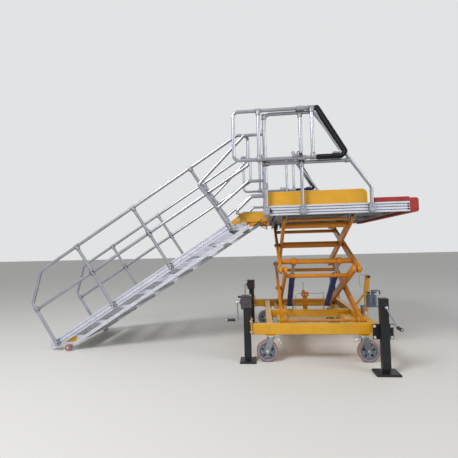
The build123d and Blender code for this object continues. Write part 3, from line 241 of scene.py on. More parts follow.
# closed-cell foam in its moulded skin: deep black with a dull sheen, its cells drawn 4 mm wide so that they show
closedCellFoam = makeSurface("closedCellFoam", {
    "base": "#08080C", "second": "#101016", "mottleMm": 60, "rough": (0.5, 0.7), "grainMm": 4.0,
    "grainDepthMm": 0.45, "hollowShade": 0.8, "hollowShadeMm": 9, "hollowShadeHex": "#060608", "ior": 1.33})
# a pale thread between the foam's lobes, smoother than the foam: a painted highlight standing in for the light caught
# on the lobes' flanks
foamHighlightPaint = makeSurface("foamPaintedHighlight", {
    "base": "#5C5D66", "second": "#4C4D55", "mottleMm": 40, "rough": (0.35, 0.5), "grainMm": 3.0,
    "grainDepthMm": 0.05, "ior": 1.5})
# bright zinc on bolt heads and small turned fittings, seldom touched, so cleaner than the plates
brightZinc = makeSurface("brightZincFastener", {
    "base": "#DCDFE2", "second": "#C4C8CC", "mottleMm": 12, "rough": (0.22, 0.36), "grainMm": 2.0,
    "grainDepthMm": 0.02, "metallic": 0.85})
# blackened steel of set screws, oily in the sockets
darkScrewSteel = makeSurface("blackenedScrewSteel", {
    "base": "#4A4B50", "second": "#3A3B40", "mottleMm": 10, "rough": (0.35, 0.5), "grainMm": 1.5,
    "grainDepthMm": 0.02, "metallic": 0.8})
# pale grey paint on pressed steel caps and wire: satin and even
paleCapSteel = makeSurface("palePaintedSteel", {
    "base": "#D4D2DA", "second": "#C4C2CC", "mottleMm": 40, "rough": (0.35, 0.5), "grainMm": 2.0,
    "grainDepthMm": 0.03, "ior": 1.5})
# white nylon of pedals and knobs, moulded, smudged by hands and shoes
whiteNylon = makeSurface("mouldedWhiteNylon", {
    "base": "#E4E3DE", "second": "#CFCDC6", "mottleMm": 20, "rough": (0.35, 0.5), "grainMm": 2.0,
    "grainDepthMm": 0.04, "dirt": 0.25, "dirtTop": 0.8, "dirtHex": "#7A7468", "ior": 1.53})
# grey nylon of end caps and roller hubs, moulded: satin, a little darker than the metal beside it
greyNylon = makeSurface("mouldedGreyNylon", {
    "base": "#6E7076", "second": "#606268", "mottleMm": 30, "rough": (0.4, 0.55), "grainMm": 2.0,
    "grainDepthMm": 0.04, "ior": 1.53})
# raised tread ribs, polished on top by shoes, with dirt lodged between
treadAluminium = makeSurface("polishedTreadRib", {
    "base": "#C9CBCF", "second": "#B0B2B7", "mottleMm": 45, "rough": (0.28, 0.42), "grainMm": 3.0,
    "grainDepthMm": 0.03, "metallic": 0.75, "dirt": 0.3, "dirtTop": 2.0, "dirtHex": "#6A665F", "dirtHigh": 0.15})
print("materials made:", len(bpy.data.materials))

# which finish each solid of the source takes, by its own name or by how the names of its kind begin
finishes = {
    "chassis_frame": chassisEnamel, "caster_plates": chassisEnamel, "jack_tubes": blackEnamel,
    "jack_cranks": zincPlate, "hand_pump": greyEnamel, "drawbar": chassisEnamel,
    "arms_lower_outer": armEnamel, "arms_lower_inner": armEnamel, "arms_upper_inner": armEnamel,
    "arms_upper_outer": armEnamel, "base_rollers": oiledSteel, "deck_rollers": oiledSteel,
    "cylinder_barrels": blueEnamel, "cylinder_rods": hardChrome, "platform_frame": dullAluminium,
    "deck_planks": deckAluminium, "side_extrusions": millExtrusion, "toe_boards": yellowPowderCoat,
    "bumper": redRubber, "edge_pads": redRubber, "fixed_rails": anodisedTube, "entry_rails": anodisedTube,
    "stair_cheeks": yellowPowderCoat, "landing_plate": deckAluminium, "stair_stringers": millExtrusion,
    "stair_handrails": anodisedTube, "stair_lower_rails": millExtrusion, "stair_foot_rollers": castPolyurethane,
    "guard_frame_near": anodisedTube, "guard_frame_far": anodisedTube,
    "guard_pad_near": closedCellFoam, "guard_pad_far": closedCellFoam}
kindFinishes = {"jack_leg": blackEnamel, "caster_fork": zincPlate, "caster_tyre": castPolyurethane,
                "caster_hub": hubEnamel, "stair_tread": deckAluminium}
for name, node in nodes.items():
    finish = finishes.get(name)
    for start, kindFinish in kindFinishes.items():
        if name.startswith(start):
            finish = kindFinish
    node.data.materials.clear()
    node.data.materials.append(finish)
print("finishes set on", len(nodes), "solids")


# mesh builders: every number is in the source's millimetres, and finishPiece turns them to metres

def newMesh():
    return {"verts": [], "faces": []}


def joinRings(mesh, base, rings, count, closed=False):
    # skins rings of count vertices each; a closed run meets its own start, an open one gets flat ends
    for ring in range(rings if closed else rings - 1):
        here, following = base + ring * count, base + (ring + 1) % rings * count
        for index in range(count):
            step = (index + 1) % count
            mesh["faces"].append((here + index, here + step, following + step, following + index))
    if not closed:
        mesh["faces"].append(tuple(base + index for index in reversed(range(count))))
        mesh["faces"].append(tuple(base + (rings - 1) * count + index for index in range(count)))


def putCorners(mesh, corners):
    # eight corners, the last axis running fastest
    base = len(mesh["verts"])
    mesh["verts"] += corners
    for face in ((0, 1, 3, 2), (4, 6, 7, 5), (0, 4, 5, 1), (2, 3, 7, 6), (0, 2, 6, 4), (1, 5, 7, 3)):
        mesh["faces"].append(tuple(base + index for index in face))


def axisSides(axis):
    axis = Vector(axis).normalized()
    helper = Vector((0, 0, 1)) if abs(axis.z) < 0.9 else Vector((1, 0, 0))
    side = axis.cross(helper).normalized()
    return axis, side, axis.cross(side)


def putLathe(mesh, start, axis, profile, sides=24, turn=0.0, closed=False):
    # profile holds (radius, distance along the axis) pairs; a closed one makes a ring
    axis, side, other = axisSides(axis)
    base, start = len(mesh["verts"]), Vector(start)
    for radius, along in profile:
        for index in range(sides):
            angle = turn + 2 * math.pi * index / sides
            mesh["verts"].append(start + axis * along + (side * math.cos(angle) + other * math.sin(angle)) * radius)
    joinRings(mesh, base, len(profile), sides, closed)


def putBlock(mesh, corner, opposite):
    low, high = zip(*[sorted(pair) for pair in zip(corner, opposite)])
    putCorners(mesh, [Vector((x, y, z)) for x in (low[0], high[0]) for y in (low[1], high[1])
                      for z in (low[2], high[2])])


def putSlab(mesh, centre, along, across, sizes):
    # a block turned to its own axes: sizes run along, across and through
    along, across = Vector(along).normalized(), Vector(across).normalized()
    through = along.cross(across)
    putCorners(mesh, [Vector(centre) + along * sizes[0] * i + across * sizes[1] * j + through * sizes[2] * k
                      for i in (-0.5, 0.5) for j in (-0.5, 0.5) for k in (-0.5, 0.5)])


def roundedPath(points, bend, steps=7):
    # a broken line with each corner turned into an arc
    points = [Vector(point) for point in points]
    path = [points[0]]
    for before, corner, after in zip(points, points[1:], points[2:]):
        back, ahead = (before - corner).normalized(), (after - corner).normalized()
        half = back.angle(ahead) / 2
        reach = min(bend / math.tan(half), (before - corner).length * 0.49, (after - corner).length * 0.49)
        first, last = corner + back * reach, corner + ahead * reach
        for step in range(steps + 1):
            share = step / steps
            path.append(first * (1 - share) ** 2 + corner * 2 * share * (1 - share) + last * share ** 2)
    path.append(points[-1])
    return path


def putSweep(mesh, path, outline, flat):
    # outline holds (across, flat-wise) pairs and is carried along the path; flat stays square to it
    base = len(mesh["verts"])
    flat = Vector(flat).normalized()
    for index, point in enumerate(path):
        before = path[max(index - 1, 0)]
        after = path[min(index + 1, len(path) - 1)]
        heading = (after - before).normalized()
        across = flat.cross(heading).normalized()
        level = heading.cross(across)
        for u, v in outline:
            mesh["verts"].append(point + across * u + level * v)
    joinRings(mesh, base, len(path), len(outline))


def putTube(mesh, points, radius, bend, flat=(0, 1, 0), sides=14):
    circle = [(radius * math.cos(2 * math.pi * i / sides), radius * math.sin(2 * math.pi * i / sides))
              for i in range(sides)]
    putSweep(mesh, roundedPath(points, bend), circle, flat)


def putBolt(mesh, seat, axis, size):
    # washer, hexagon head with a turned crown; size is the thread's diameter
    putLathe(mesh, seat, axis, [(size * 1.0, 0), (size * 1.06, size * 0.05), (size * 1.06, size * 0.16),
                                (size * 1.0, size * 0.2)], 20)
    head = Vector(seat) + Vector(axis).normalized() * size * 0.2
    putLathe(mesh, head, axis, [(size * 0.9, 0), (size * 0.9, size * 0.52), (size * 0.78, size * 0.62)], 6, 0.3)


def putBead(mesh, start, axis, radius, width=5.0):
    # a fillet of weld round a tube, rippled as beads laid by hand are
    axis, side, other = axisSides(axis)
    count = max(32, int(radius * 1.6))
    base, start = len(mesh["verts"]), Vector(start)
    section = ((-1.0, 0.0), (width, 0.0), (width * 0.55, width * 0.6), (-1.0, width))
    for ring, (grow, along) in enumerate(section):
        for index in range(count):
            angle = 2 * math.pi * index / count
            ripple = 0.6 * math.cos(index * math.pi) if ring in (1, 2) else 0.0
            reach = radius + grow + ripple
            mesh["verts"].append(start + axis * along + (side * math.cos(angle) + other * math.sin(angle)) * reach)
    joinRings(mesh, base, len(section), count, closed=True)


teeLook = {"run": 63, "branch": 52, "wall": 6.2, "rim": 1.4}


def putTee(mesh, at, run, branch, tubeR):
    # slip-on rail fitting: a run sleeve and a branch sleeve, both rimmed
    run, branch, at = Vector(run).normalized(), Vector(branch).normalized(), Vector(at)
    sleeve = tubeR + teeLook["wall"]
    rim = sleeve + teeLook["rim"]
    for start, axis, length in ((at - run * (teeLook["run"] / 2), run, teeLook["run"]),
                                (at, branch, teeLook["branch"])):
        putLathe(mesh, start, axis, [(sleeve - 2, 0), (rim, 1.2), (rim, 6.5), (sleeve, 8), (sleeve, length - 8),
                                     (rim, length - 6.5), (rim, length - 1.2), (sleeve - 2, length)], 28)


def putSocketScrew(mesh, seat, axis, radius=4.5):
    # a set screw with its hexagon socket standing a little proud
    putLathe(mesh, seat, axis, [(radius, -2), (radius, 1.4), (radius * 0.62, 1.8), (radius * 0.55, 0.2)], 12)


def finishPiece(name, mesh, body, finish, edgeMm=0.0, angle=32):
    # angle is where smooth shading breaks; edgeMm rounds the edges of boxy pieces
    data = bpy.data.meshes.new(name)
    data.from_pydata([(middleX + v.x / 1000, v.y / 1000, v.z / 1000) for v in mesh["verts"]], [], mesh["faces"])
    work = bmesh.new()
    work.from_mesh(data)
    bmesh.ops.recalc_face_normals(work, faces=work.faces)
    work.to_mesh(data)
    work.free()
    data.polygons.foreach_set("use_smooth", [True] * len(data.polygons))
    data.set_sharp_from_angle(angle=math.radians(angle))
    data.materials.append(finish)
    piece = addObject(name, data)
    if edgeMm:
        rounding = piece.modifiers.new("softEdges", "BEVEL")
        rounding.width = edgeMm / 1000
        rounding.segments = 2
        rounding.limit_method = "ANGLE"
        rounding.angle_limit = math.radians(40)
    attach(piece, body)
    return piece


# chassis and jacks: side -1 is the near side and 1 the far one, here and below

jackLook = {"x": 370, "plateFace": 1255, "boltX": 85, "boltZ": (360, 476), "bolt": 15,
            "middleZ": 418, "middleBolt": 11, "shaftZ": 690}
outerBolts, middleBolts = newMesh(), newMesh()
for side in (-1, 1):
    for boltX in (-jackLook["boltX"], jackLook["boltX"]):
        x, faceY = jackLook["x"] + boltX, side * jackLook["plateFace"]
        for z in jackLook["boltZ"]:
            putBolt(outerBolts, (x, faceY, z), (0, side, 0), jackLook["bolt"])
        putBolt(middleBolts, (x, faceY, jackLook["middleZ"]), (0, side, 0), jackLook["middleBolt"])
finishPiece("jackPlateBolts", outerBolts, "base", brightZinc)
finishPiece("jackPlateMiddleBolts", middleBolts, "base", blackEnamel)

endBoltLook = {"outerX": -1022, "innerX": -1010, "y": (868, 989), "z": (352, 472), "size": 11}
mesh = newMesh()
for side in (-1, 1):
    for y in endBoltLook["y"]:
        for z in endBoltLook["z"]:
            putBolt(mesh, (endBoltLook["outerX"], side * y, z), (-1, 0, 0), endBoltLook["size"])
            putLathe(mesh, (endBoltLook["innerX"], side * y, z), (1, 0, 0), [(9, 0), (9, 9), (7, 10)], 6)
finishPiece("endPlateBolts", mesh, "base", brightZinc)

# grey cast case round each left gearbox: flanged lid, bearing cover toward the crank, plugs on both sides
caseLook = {"x": (-1131.2, -1008.8), "y": 935, "half": 54.2, "bottomZ": 625, "lidZ": 752, "topZ": 767, "lidOver": 4,
            "plugX": -1066, "ribZ": (640, 738), "ribHalf": 3, "lidBolt": 7, "lidBoltX": (-1120, -1020),
            "lidBoltY": 46, "coverBolt": 5, "coverBolts": 4, "coverBoltOut": 31, "coverX": -1136.2, "nutX": -1148}
caseX, caseOver, caseHalf = caseLook["x"], caseLook["lidOver"], caseLook["half"]
mesh, screws = newMesh(), newMesh()
for y in (-caseLook["y"], caseLook["y"]):
    putBlock(mesh, (caseX[0], y - caseHalf, caseLook["bottomZ"]), (caseX[1], y + caseHalf, caseLook["lidZ"]))
    putBlock(mesh, (caseX[0] - caseOver, y - caseHalf - caseOver, caseLook["lidZ"]),
             (caseX[1] + caseOver, y + caseHalf + caseOver, caseLook["topZ"]))
    putLathe(mesh, (caseX[0], y, jackLook["shaftZ"]), (-1, 0, 0),
             [(38, -2), (38, 5), (30, 8), (24, 8), (22, 16), (13, 17)], 32)
    for side in (-1, 1):
        putLathe(mesh, (caseLook["plugX"], y + side * caseHalf, jackLook["shaftZ"]), (0, side, 0),
                 [(24, -2), (24, 4), (19, 6), (8, 6)], 28)
        for z in caseLook["ribZ"]:
            putBlock(mesh, (caseX[0] + 8, y + side * (caseHalf - 2), z - caseLook["ribHalf"]),
                     (caseX[1] - 8, y + side * (caseHalf + 2.4), z + caseLook["ribHalf"]))
    for x in caseLook["lidBoltX"]:
        for dy in (-caseLook["lidBoltY"], caseLook["lidBoltY"]):
            putBolt(screws, (x, y + dy, caseLook["topZ"]), (0, 0, 1), caseLook["lidBolt"])
    for turn in range(caseLook["coverBolts"]):
        angle = math.pi / 4 + turn * 2 * math.pi / caseLook["coverBolts"]
        putBolt(screws, (caseLook["coverX"], y + caseLook["coverBoltOut"] * math.cos(angle),
                         jackLook["shaftZ"] + caseLook["coverBoltOut"] * math.sin(angle)),
                (-1, 0, 0), caseLook["coverBolt"])
    putLathe(screws, (caseLook["nutX"], y, jackLook["shaftZ"]), (-1, 0, 0), [(15, 0), (15, 12), (12, 14)], 24)
finishPiece("leftGearCases", mesh, "base", castGearGrey, edgeMm=2.2)
finishPiece("gearCaseScrews", screws, "base", brightZinc)
# pale pressed cap on the far jack's lid
mesh = newMesh()
putLathe(mesh, (-1068, caseLook["y"], caseLook["topZ"]), (0, 0, 1),
         [(77, -5), (78, 7), (70, 11), (12, 14), (0.5, 14)], 4, math.pi / 4)
finishPiece("farJackCap", mesh, "base", paleCapSteel, edgeMm=1.5)
# right jacks: welded top caps and a round boss behind each crank
capLook = {"y": 1296, "halfX": 44, "halfY": 46, "z": (764, 772), "bossY": 1345}
mesh = newMesh()
for side in (-1, 1):
    putBlock(mesh, (jackLook["x"] - capLook["halfX"], side * capLook["y"] - capLook["halfY"], capLook["z"][0]),
             (jackLook["x"] + capLook["halfX"], side * capLook["y"] + capLook["halfY"], capLook["z"][1]))
    putLathe(mesh, (jackLook["x"], side * capLook["bossY"], jackLook["shaftZ"]), (0, side, 0),
             [(27, -3), (27, 6), (20, 9), (14, 9)], 28)
finishPiece("rightJackCaps", mesh, "base", blackEnamel, edgeMm=1.5)

# cranks: a bright ball hub at each shaft's elbow, and a black grip that turns on a bright nut
crankLook = {"armMm": 215, "gripOut": 30, "gripR": 16.5}
crankTable = [
    # shaft's x and y, the way it points, the arm's turn in degrees, how far out the elbow stands
    (-1063, -935, (-1, 0, 0), 5, 112), (-1063, 935, (-1, 0, 0), 5, 112),
    (370, -1296, (0, -1, 0), 25, 94), (370, 1296, (0, 1, 0), 25, 94)]
balls, grips, nuts = newMesh(), newMesh(), newMesh()
for x, y, pointing, turnDegrees, reach in crankTable:
    out = Vector(pointing)
    elbow = Vector((x, y, jackLook["shaftZ"])) + out * reach
    swing = math.radians(turnDegrees)
    arm = crankLook["armMm"]
    low = elbow + Vector((abs(out.y), abs(out.x), 0)) * arm * math.sin(swing) - Vector((0, 0, arm * math.cos(swing)))
    start = low + out * crankLook["gripOut"]
    putLathe(balls, elbow - out * 14, out, [(9, 0), (13, 4), (15, 11), (15, 17), (13, 24), (8, 29)], 24)
    putLathe(grips, start - out * 1, out, [(14.3, 0), (18, 2), (18, 8), (16, 11), (crankLook["gripR"], 40),
                                           (16, 78), (18, 86), (18, 94), (14.3, 96.5)], 28)
    putLathe(nuts, start + out * 95, out, [(9, 0), (9, 6), (7, 8)], 6)
finishPiece("crankHubs", balls, "base", brightZinc)
finishPiece("crankGrips", grips, "base", blackRubber)
finishPiece("crankNuts", nuts, "base", brightZinc)

# weld seams of the chassis: rails to end plates and cross beams, in short rippled runs
weldLook = {"radius": 3.6, "pitch": 5.0, "dip": 0.82}


def putSeam(mesh, start, end):
    start, end = Vector(start), Vector(end)
    length = (end - start).length
    steps = max(2, int(length / weldLook["pitch"]))
    profile = [(weldLook["radius"] * (weldLook["dip"] if index % 2 else 1.0), length * index / steps)
               for index in range(steps + 1)]
    putLathe(mesh, start, end - start, profile, 8)


seamTable = [
    # for each side: ends of a run as x, distance from the middle, z
    ((-1009, 895, 322), (-1009, 895, 436)), ((-1009, 975, 322), (-1009, 975, 436)),
    ((-1009, 897, 438), (-1009, 973, 438)),
    ((330, 895, 336), (330, 895, 436)), ((330, 1234, 336), (330, 1234, 436)), ((330, 898, 438), (330, 972, 438)),
    ((410, 895, 336), (410, 895, 436)), ((410, 1234, 336), (410, 1234, 436)), ((410, 898, 438), (410, 972, 438)),
    ((-835, 894, 322), (-835, 894, 427)), ((-765, 894, 322), (-765, 894, 427)),
    ((-690, 894, 322), (-690, 894, 376)), ((-540, 894, 322), (-540, 894, 376)), ((180, 894, 322), (180, 894, 376))]
mesh = newMesh()
for side in (-1, 1):
    for start, end in seamTable:
        putSeam(mesh, (start[0], side * start[1], start[2]), (end[0], side * end[1], end[2]))
for x in (-690, -540, 180):
    for y in (-35, 35):
        putSeam(mesh, (x, y, 380), (x, y, 426))
finishPiece("chassisWelds", mesh, "base", chassisEnamel)

# hand pump: two rounded pressings on each side of the tank, bolted head, filler, white knob and bent silver rod
pumpLook = {"x": 535, "y": -350, "tankHalf": 55, "pressingX": 28, "pressingZ": 548, "headZ": (671, 677),
            "bolt": 7, "boltX": 30, "boltY": 40, "rodR": 4.5}
pumpX, pumpY, headZ = pumpLook["x"], pumpLook["y"], pumpLook["headZ"]
mesh = newMesh()
for side in (-1, 1):
    for shift in (-pumpLook["pressingX"], pumpLook["pressingX"]):
        putLathe(mesh, (pumpX + shift, pumpY + side * pumpLook["tankHalf"], pumpLook["pressingZ"]), (0, 0, 1),
                 [(4, 0), (15, 4), (20, 14), (20, 96), (15, 106), (4, 110)], 24)
putLathe(mesh, (pumpX, pumpY, 700), (0, 0, 1), [(19, -1), (19, 8), (15, 11)], 28)
putBlock(mesh, (pumpX - 43, pumpY - 48, headZ[0]), (pumpX + 43, pumpY + 48, headZ[1]))
finishPiece("pumpTankPressings", mesh, "base", greyEnamel, edgeMm=1.5)
mesh = newMesh()
for dx in (-pumpLook["boltX"], pumpLook["boltX"]):
    for dy in (-pumpLook["boltY"], pumpLook["boltY"]):
        putBolt(mesh, (pumpX + dx, pumpY + dy, headZ[1]), (0, 0, 1), pumpLook["bolt"])
putLathe(mesh, (590, -330, 640), (1, 0, 0), [(12, 0), (12, 7), (9, 8), (9, 13)], 6)
putTube(mesh, [(512, -398, headZ[1]), (512, -398, 735), (500, -420, 770), (500, -420, 800)], pumpLook["rodR"], 16,
        (1, 0, 0))
finishPiece("pumpFittings", mesh, "base", brightZinc)
mesh = newMesh()
putLathe(mesh, (645, pumpY, 650), (0, 0, 1), [(6, 0), (13, 5), (16, 14), (14, 23), (7, 29), (3, 30)], 24)
finishPiece("pumpKnob", mesh, "base", whiteNylon)
mesh = newMesh()
putBlock(mesh, (470, pumpY - 16, 700), (602, pumpY + 16, 711))
finishPiece("pumpSocketBar", mesh, "base", blackEnamel, edgeMm=2)

# orange valve block on a bracket between the cylinders, with bright pipes to either side
valveLook = {"x": (-282, -173), "y": (398, 442), "z": (553, 618), "footZ": 341, "pipeR": 5, "pipeBend": 22,
             "pipeZ": 600, "bolt": 9, "boltX": (-205, -255), "boltZ": 575}
valveX, valveY, footZ = valveLook["x"], valveLook["y"], valveLook["footZ"]
mesh = newMesh()
putBlock(mesh, (-262, 414, footZ), (-194, 424, 560))
putBlock(mesh, (-262, valveY[0], footZ), (-194, valveY[1], footZ + 8))
putBlock(mesh, (valveX[0], valveY[0], valveLook["z"][0]), (valveX[1], valveY[1], valveLook["z"][1]))
putBlock(mesh, (-268, 404, 617), (-226, 436, 647))
finishPiece("valveBlock", mesh, "base", armEnamel, edgeMm=2)
mesh = newMesh()
for points in ([(-280, 404, 600), (-352, 396, 600), (-372, 394, 560), (-372, 396, 344)],
               [(-176, 404, 598), (8, 392, 594), (50, 392, 620)],
               [(50, 392, 620), (56, 394, 590), (40, 396, 344)]):
    putTube(mesh, points, valveLook["pipeR"], valveLook["pipeBend"])
putLathe(mesh, (-250, 420, 645), (0, 0, 1), [(5, 0), (6, 1), (6, 108), (5, 109)], 14)
putLathe(mesh, (-250, 420, 742), (0, 0, 1), [(6, 0), (11, 4), (11, 14), (7, 18)], 20)
for x, way in zip(valveX, (-1, 1)):
    putLathe(mesh, (x, 404, valveLook["pipeZ"]), (way, 0, 0), [(12, -2), (12, 9), (9, 11)], 6)
for x in valveLook["boltX"]:
    putBolt(mesh, (x, valveY[0], valveLook["boltZ"]), (0, -1, 0), valveLook["bolt"])
finishPiece("valvePipes", mesh, "base", brightZinc)

# towing handle: white wire hoop on its bar, rubber ends, and the pin's washers at its foot
handleLook = {"wireR": 6, "wireBend": 14, "gripY": 70, "pinY": 45}
mesh = newMesh()
putTube(mesh, [(560, 0, 742), (505, 0, 748), (489, 0, 772), (489, 0, 880), (512, 0, 908), (572, 0, 902)],
        handleLook["wireR"], handleLook["wireBend"])
finishPiece("towingHandleHoop", mesh, "drawbar", paleCapSteel)
grips, caps = newMesh(), newMesh()
for side in (-1, 1):
    putLathe(grips, (602, side * handleLook["gripY"], 880), (0, side, 0),
             [(15.5, -34), (18.5, -31), (18.5, 0), (14, 3)], 24)
    putLathe(caps, (545, side * handleLook["pinY"], 375), (0, side, 0),
             [(22, 0), (22, 3), (13, 3), (13, 9), (11, 11)], 24)
finishPiece("towingHandleGrips", grips, "drawbar", blackRubber)
finishPiece("towingPinCaps", caps, "base", brightZinc)
print("chassis, jack and pump pieces made")

# casters: swivel race, axle nuts and brake pedal on each fork; bearing covers, spokes and dark discs of painted shade
# in the holes on each hub

casterLook = {"x": (-790, 259), "y": 935, "trail": 47, "axleZ": 125, "raceZ": 284, "leverR": 5.5, "leverHalf": 14,
              "lever": ((34, 272), (62, 270), (92, 244), (112, 214)), "pedal": (46, 26, 9), "holeShades": 5,
              "firstHole": 18, "holeOut": 60, "spokeOut": 62, "spoke": (70, 8, 10),
              "plateZ": 306, "plateBolt": 8.5}
casterTable = [(f"{depth}_{end}", x, side, trail) for depth, side in (("near", -1), ("far", 1))
               for end, x, trail in zip(("left", "right"), casterLook["x"], (-1, 1))]
for name, x, side, trail in casterTable:
    y, wheelX, axleZ = side * casterLook["y"], x + trail * casterLook["trail"], casterLook["axleZ"]
    mesh = newMesh()
    putLathe(mesh, (x, y, casterLook["raceZ"]), (0, 0, 1),
             [(38, 0), (46, 1), (49, 5), (49, 9), (46, 12), (46, 15), (49, 18), (40, 20)], 36)
    for end in (-1, 1):
        putLathe(mesh, (wheelX, y + end * 39, axleZ), (0, end, 0), [(16.5, 0), (16.5, 2)], 24)
        putLathe(mesh, (wheelX, y + end * 41, axleZ), (0, end, 0), [(15, 0), (15, 9), (12.5, 11)], 6)
    finishPiece(f"swivelRace_{name}", mesh, f"fork_{name}", brightZinc)
    mesh = newMesh()
    away = -trail  # the lever points the other way from the wheel
    for shift in (-casterLook["leverHalf"], casterLook["leverHalf"]):
        putTube(mesh, [(x + away * out, y + shift, z) for out, z in casterLook["lever"]], casterLook["leverR"], 16)
    putBlock(mesh, (x + away * 34, y - 20, 258), (x + away * 40, y + 20, 282))
    finishPiece(f"brakeLever_{name}", mesh, f"fork_{name}", brightZinc)
    mesh = newMesh()
    putSlab(mesh, (x + away * 110, y, 218), (0, 1, 0), (away * 0.55, 0, -0.83), casterLook["pedal"])
    finishPiece(f"brakePedal_{name}", mesh, f"fork_{name}", whiteNylon, edgeMm=2.5)
    mesh = newMesh()
    for end in (-1, 1):
        putLathe(mesh, (wheelX, y + end * 24.5, axleZ), (0, end, 0),
                 [(27, 0), (27, 2.2), (22, 3.4), (16, 3.4), (15, 1.5), (9.6, 1.5)], 36)
        putLathe(mesh, (wheelX + 22, y + end * 12, axleZ), (0, end, 0), [(3.6, 0), (3.6, 6), (2.4, 7), (2.4, 11)], 10)
    finishPiece(f"hubBearing_{name}", mesh, f"wheel_{name}", brightZinc)
    spokes, holeShades = newMesh(), newMesh()
    pitch = 360 / casterLook["holeShades"]
    for turn in range(casterLook["holeShades"]):
        # a dark disc in each lightening hole of the solid, painted shade standing in for the shadow inside the hole,
        # and a spoke halfway to the next
        angle = math.radians(pitch * turn + casterLook["firstHole"])
        holeAt = (wheelX + casterLook["holeOut"] * math.cos(angle), y - 3,
                  axleZ + casterLook["holeOut"] * math.sin(angle))
        putLathe(holeShades, holeAt, (0, 1, 0), [(14.9, 0), (14.9, 6)], 24)
        angle += math.radians(pitch / 2)
        outward = Vector((math.cos(angle), 0, math.sin(angle)))
        for end in (-1, 1):
            putSlab(spokes, Vector((wheelX, y + end * 15.5, axleZ)) + outward * casterLook["spokeOut"], outward,
                    (0, 1, 0), casterLook["spoke"])
    for end in (-1, 1):
        putLathe(spokes, (wheelX, y + end * 25, axleZ), (0, end, 0), [(98.5, -1), (98.5, 0.8), (109, 0.8), (109, -1)],
                 64, closed=True)
    finishPiece(f"hubSpokes_{name}", spokes, f"wheel_{name}", castAluminium)
    finishPiece(f"hubHoleShades_{name}", holeShades, f"wheel_{name}", blackNylon)
mesh = newMesh()
for x in casterLook["x"]:
    for side in (-1, 1):
        for dx in (-46, 46):
            for dy in (-33, 33):
                putBolt(mesh, (x + dx, side * casterLook["y"] + dy, casterLook["plateZ"]), (0, 0, -1),
                        casterLook["plateBolt"])
finishPiece("casterPlateBolts", mesh, "base", brightZinc)
print("caster pieces made")

# scissor: welds where cross tubes meet arms, and greased caps on the pivot pins

armLook = {"halfArm": 17.5, "eyeHalf": 29.5, "eyeBead": 6}
cylinderX = (-465, 105)
armTable = [
    # body, lower end, upper end, left arm x, right arm x, cross tubes as share of the arm and radius
    ("arms_1", (-750, 430), (750, 1040), -645, 285, ((0.85, 25),)),
    ("arms_2", (750, 430), (-750, 1040), -585, 225, ((0.85, 25),)),
    ("arms_3", (750, 1040), (-750, 1650), -585, 225, ((0.5, 42), (0.9, 35))),
    ("arms_4", (-750, 1040), (750, 1650), -645, 285, ((0.15, 32), (0.84, 25)))]
for body, low, high, leftX, rightX, tubes in armTable:
    mesh = newMesh()
    for tube, (share, radius) in enumerate(tubes):
        y = low[0] + (high[0] - low[0]) * share
        z = low[1] + (high[1] - low[1]) * share
        putBead(mesh, (leftX + armLook["halfArm"], y, z), (1, 0, 0), radius)
        putBead(mesh, (rightX - armLook["halfArm"], y, z), (-1, 0, 0), radius)
        if body == "arms_4" and tube == 0:  # the eyes of the cylinders' rods sit on this tube
            for x in cylinderX:
                for end in (-1, 1):
                    putBead(mesh, (x + end * armLook["eyeHalf"], y, z), (end, 0, 0), radius, armLook["eyeBead"])
    finishPiece(f"armWelds_{body}", mesh, body, armEnamel)

nippleProfile = [(15, -0.5), (15, 3), (12, 5), (6, 5), (6, 8), (3.4, 9), (3.4, 14), (1.5, 15)]
lugWasher = [(16.6, 0), (20, 0.5), (20, 4), (16.6, 4.5)]
armWasher = [(26.6, 0), (26.6, 3), (20, 3.6)]
pinTable = [
    # body, x of the pins' left and right ends, washer, pins as y and z
    ("arms_1", (-688, 328), lugWasher, ((-750, 430),)),
    ("arms_2", (-679, 319), armWasher, ((0, 735), (-750, 1040))),
    ("arms_3", (-679, 319), armWasher, ((750, 1040), (0, 1345)))]
for body, ends, washer, pins in pinTable:
    mesh = newMesh()
    for y, z in pins:
        for way, x in zip((-1, 1), ends):
            putLathe(mesh, (x, y, z), (way, 0, 0), nippleProfile, 24)
            putLathe(mesh, (x - way * 9, y, z), (way, 0, 0), washer, 28)
    finishPiece(f"pinCaps_{body}", mesh, body, oiledSteel)
print("scissor pieces made")

# lift cylinders: ported barrels with steel pipes clipped along them, and a dark wiper at each gland

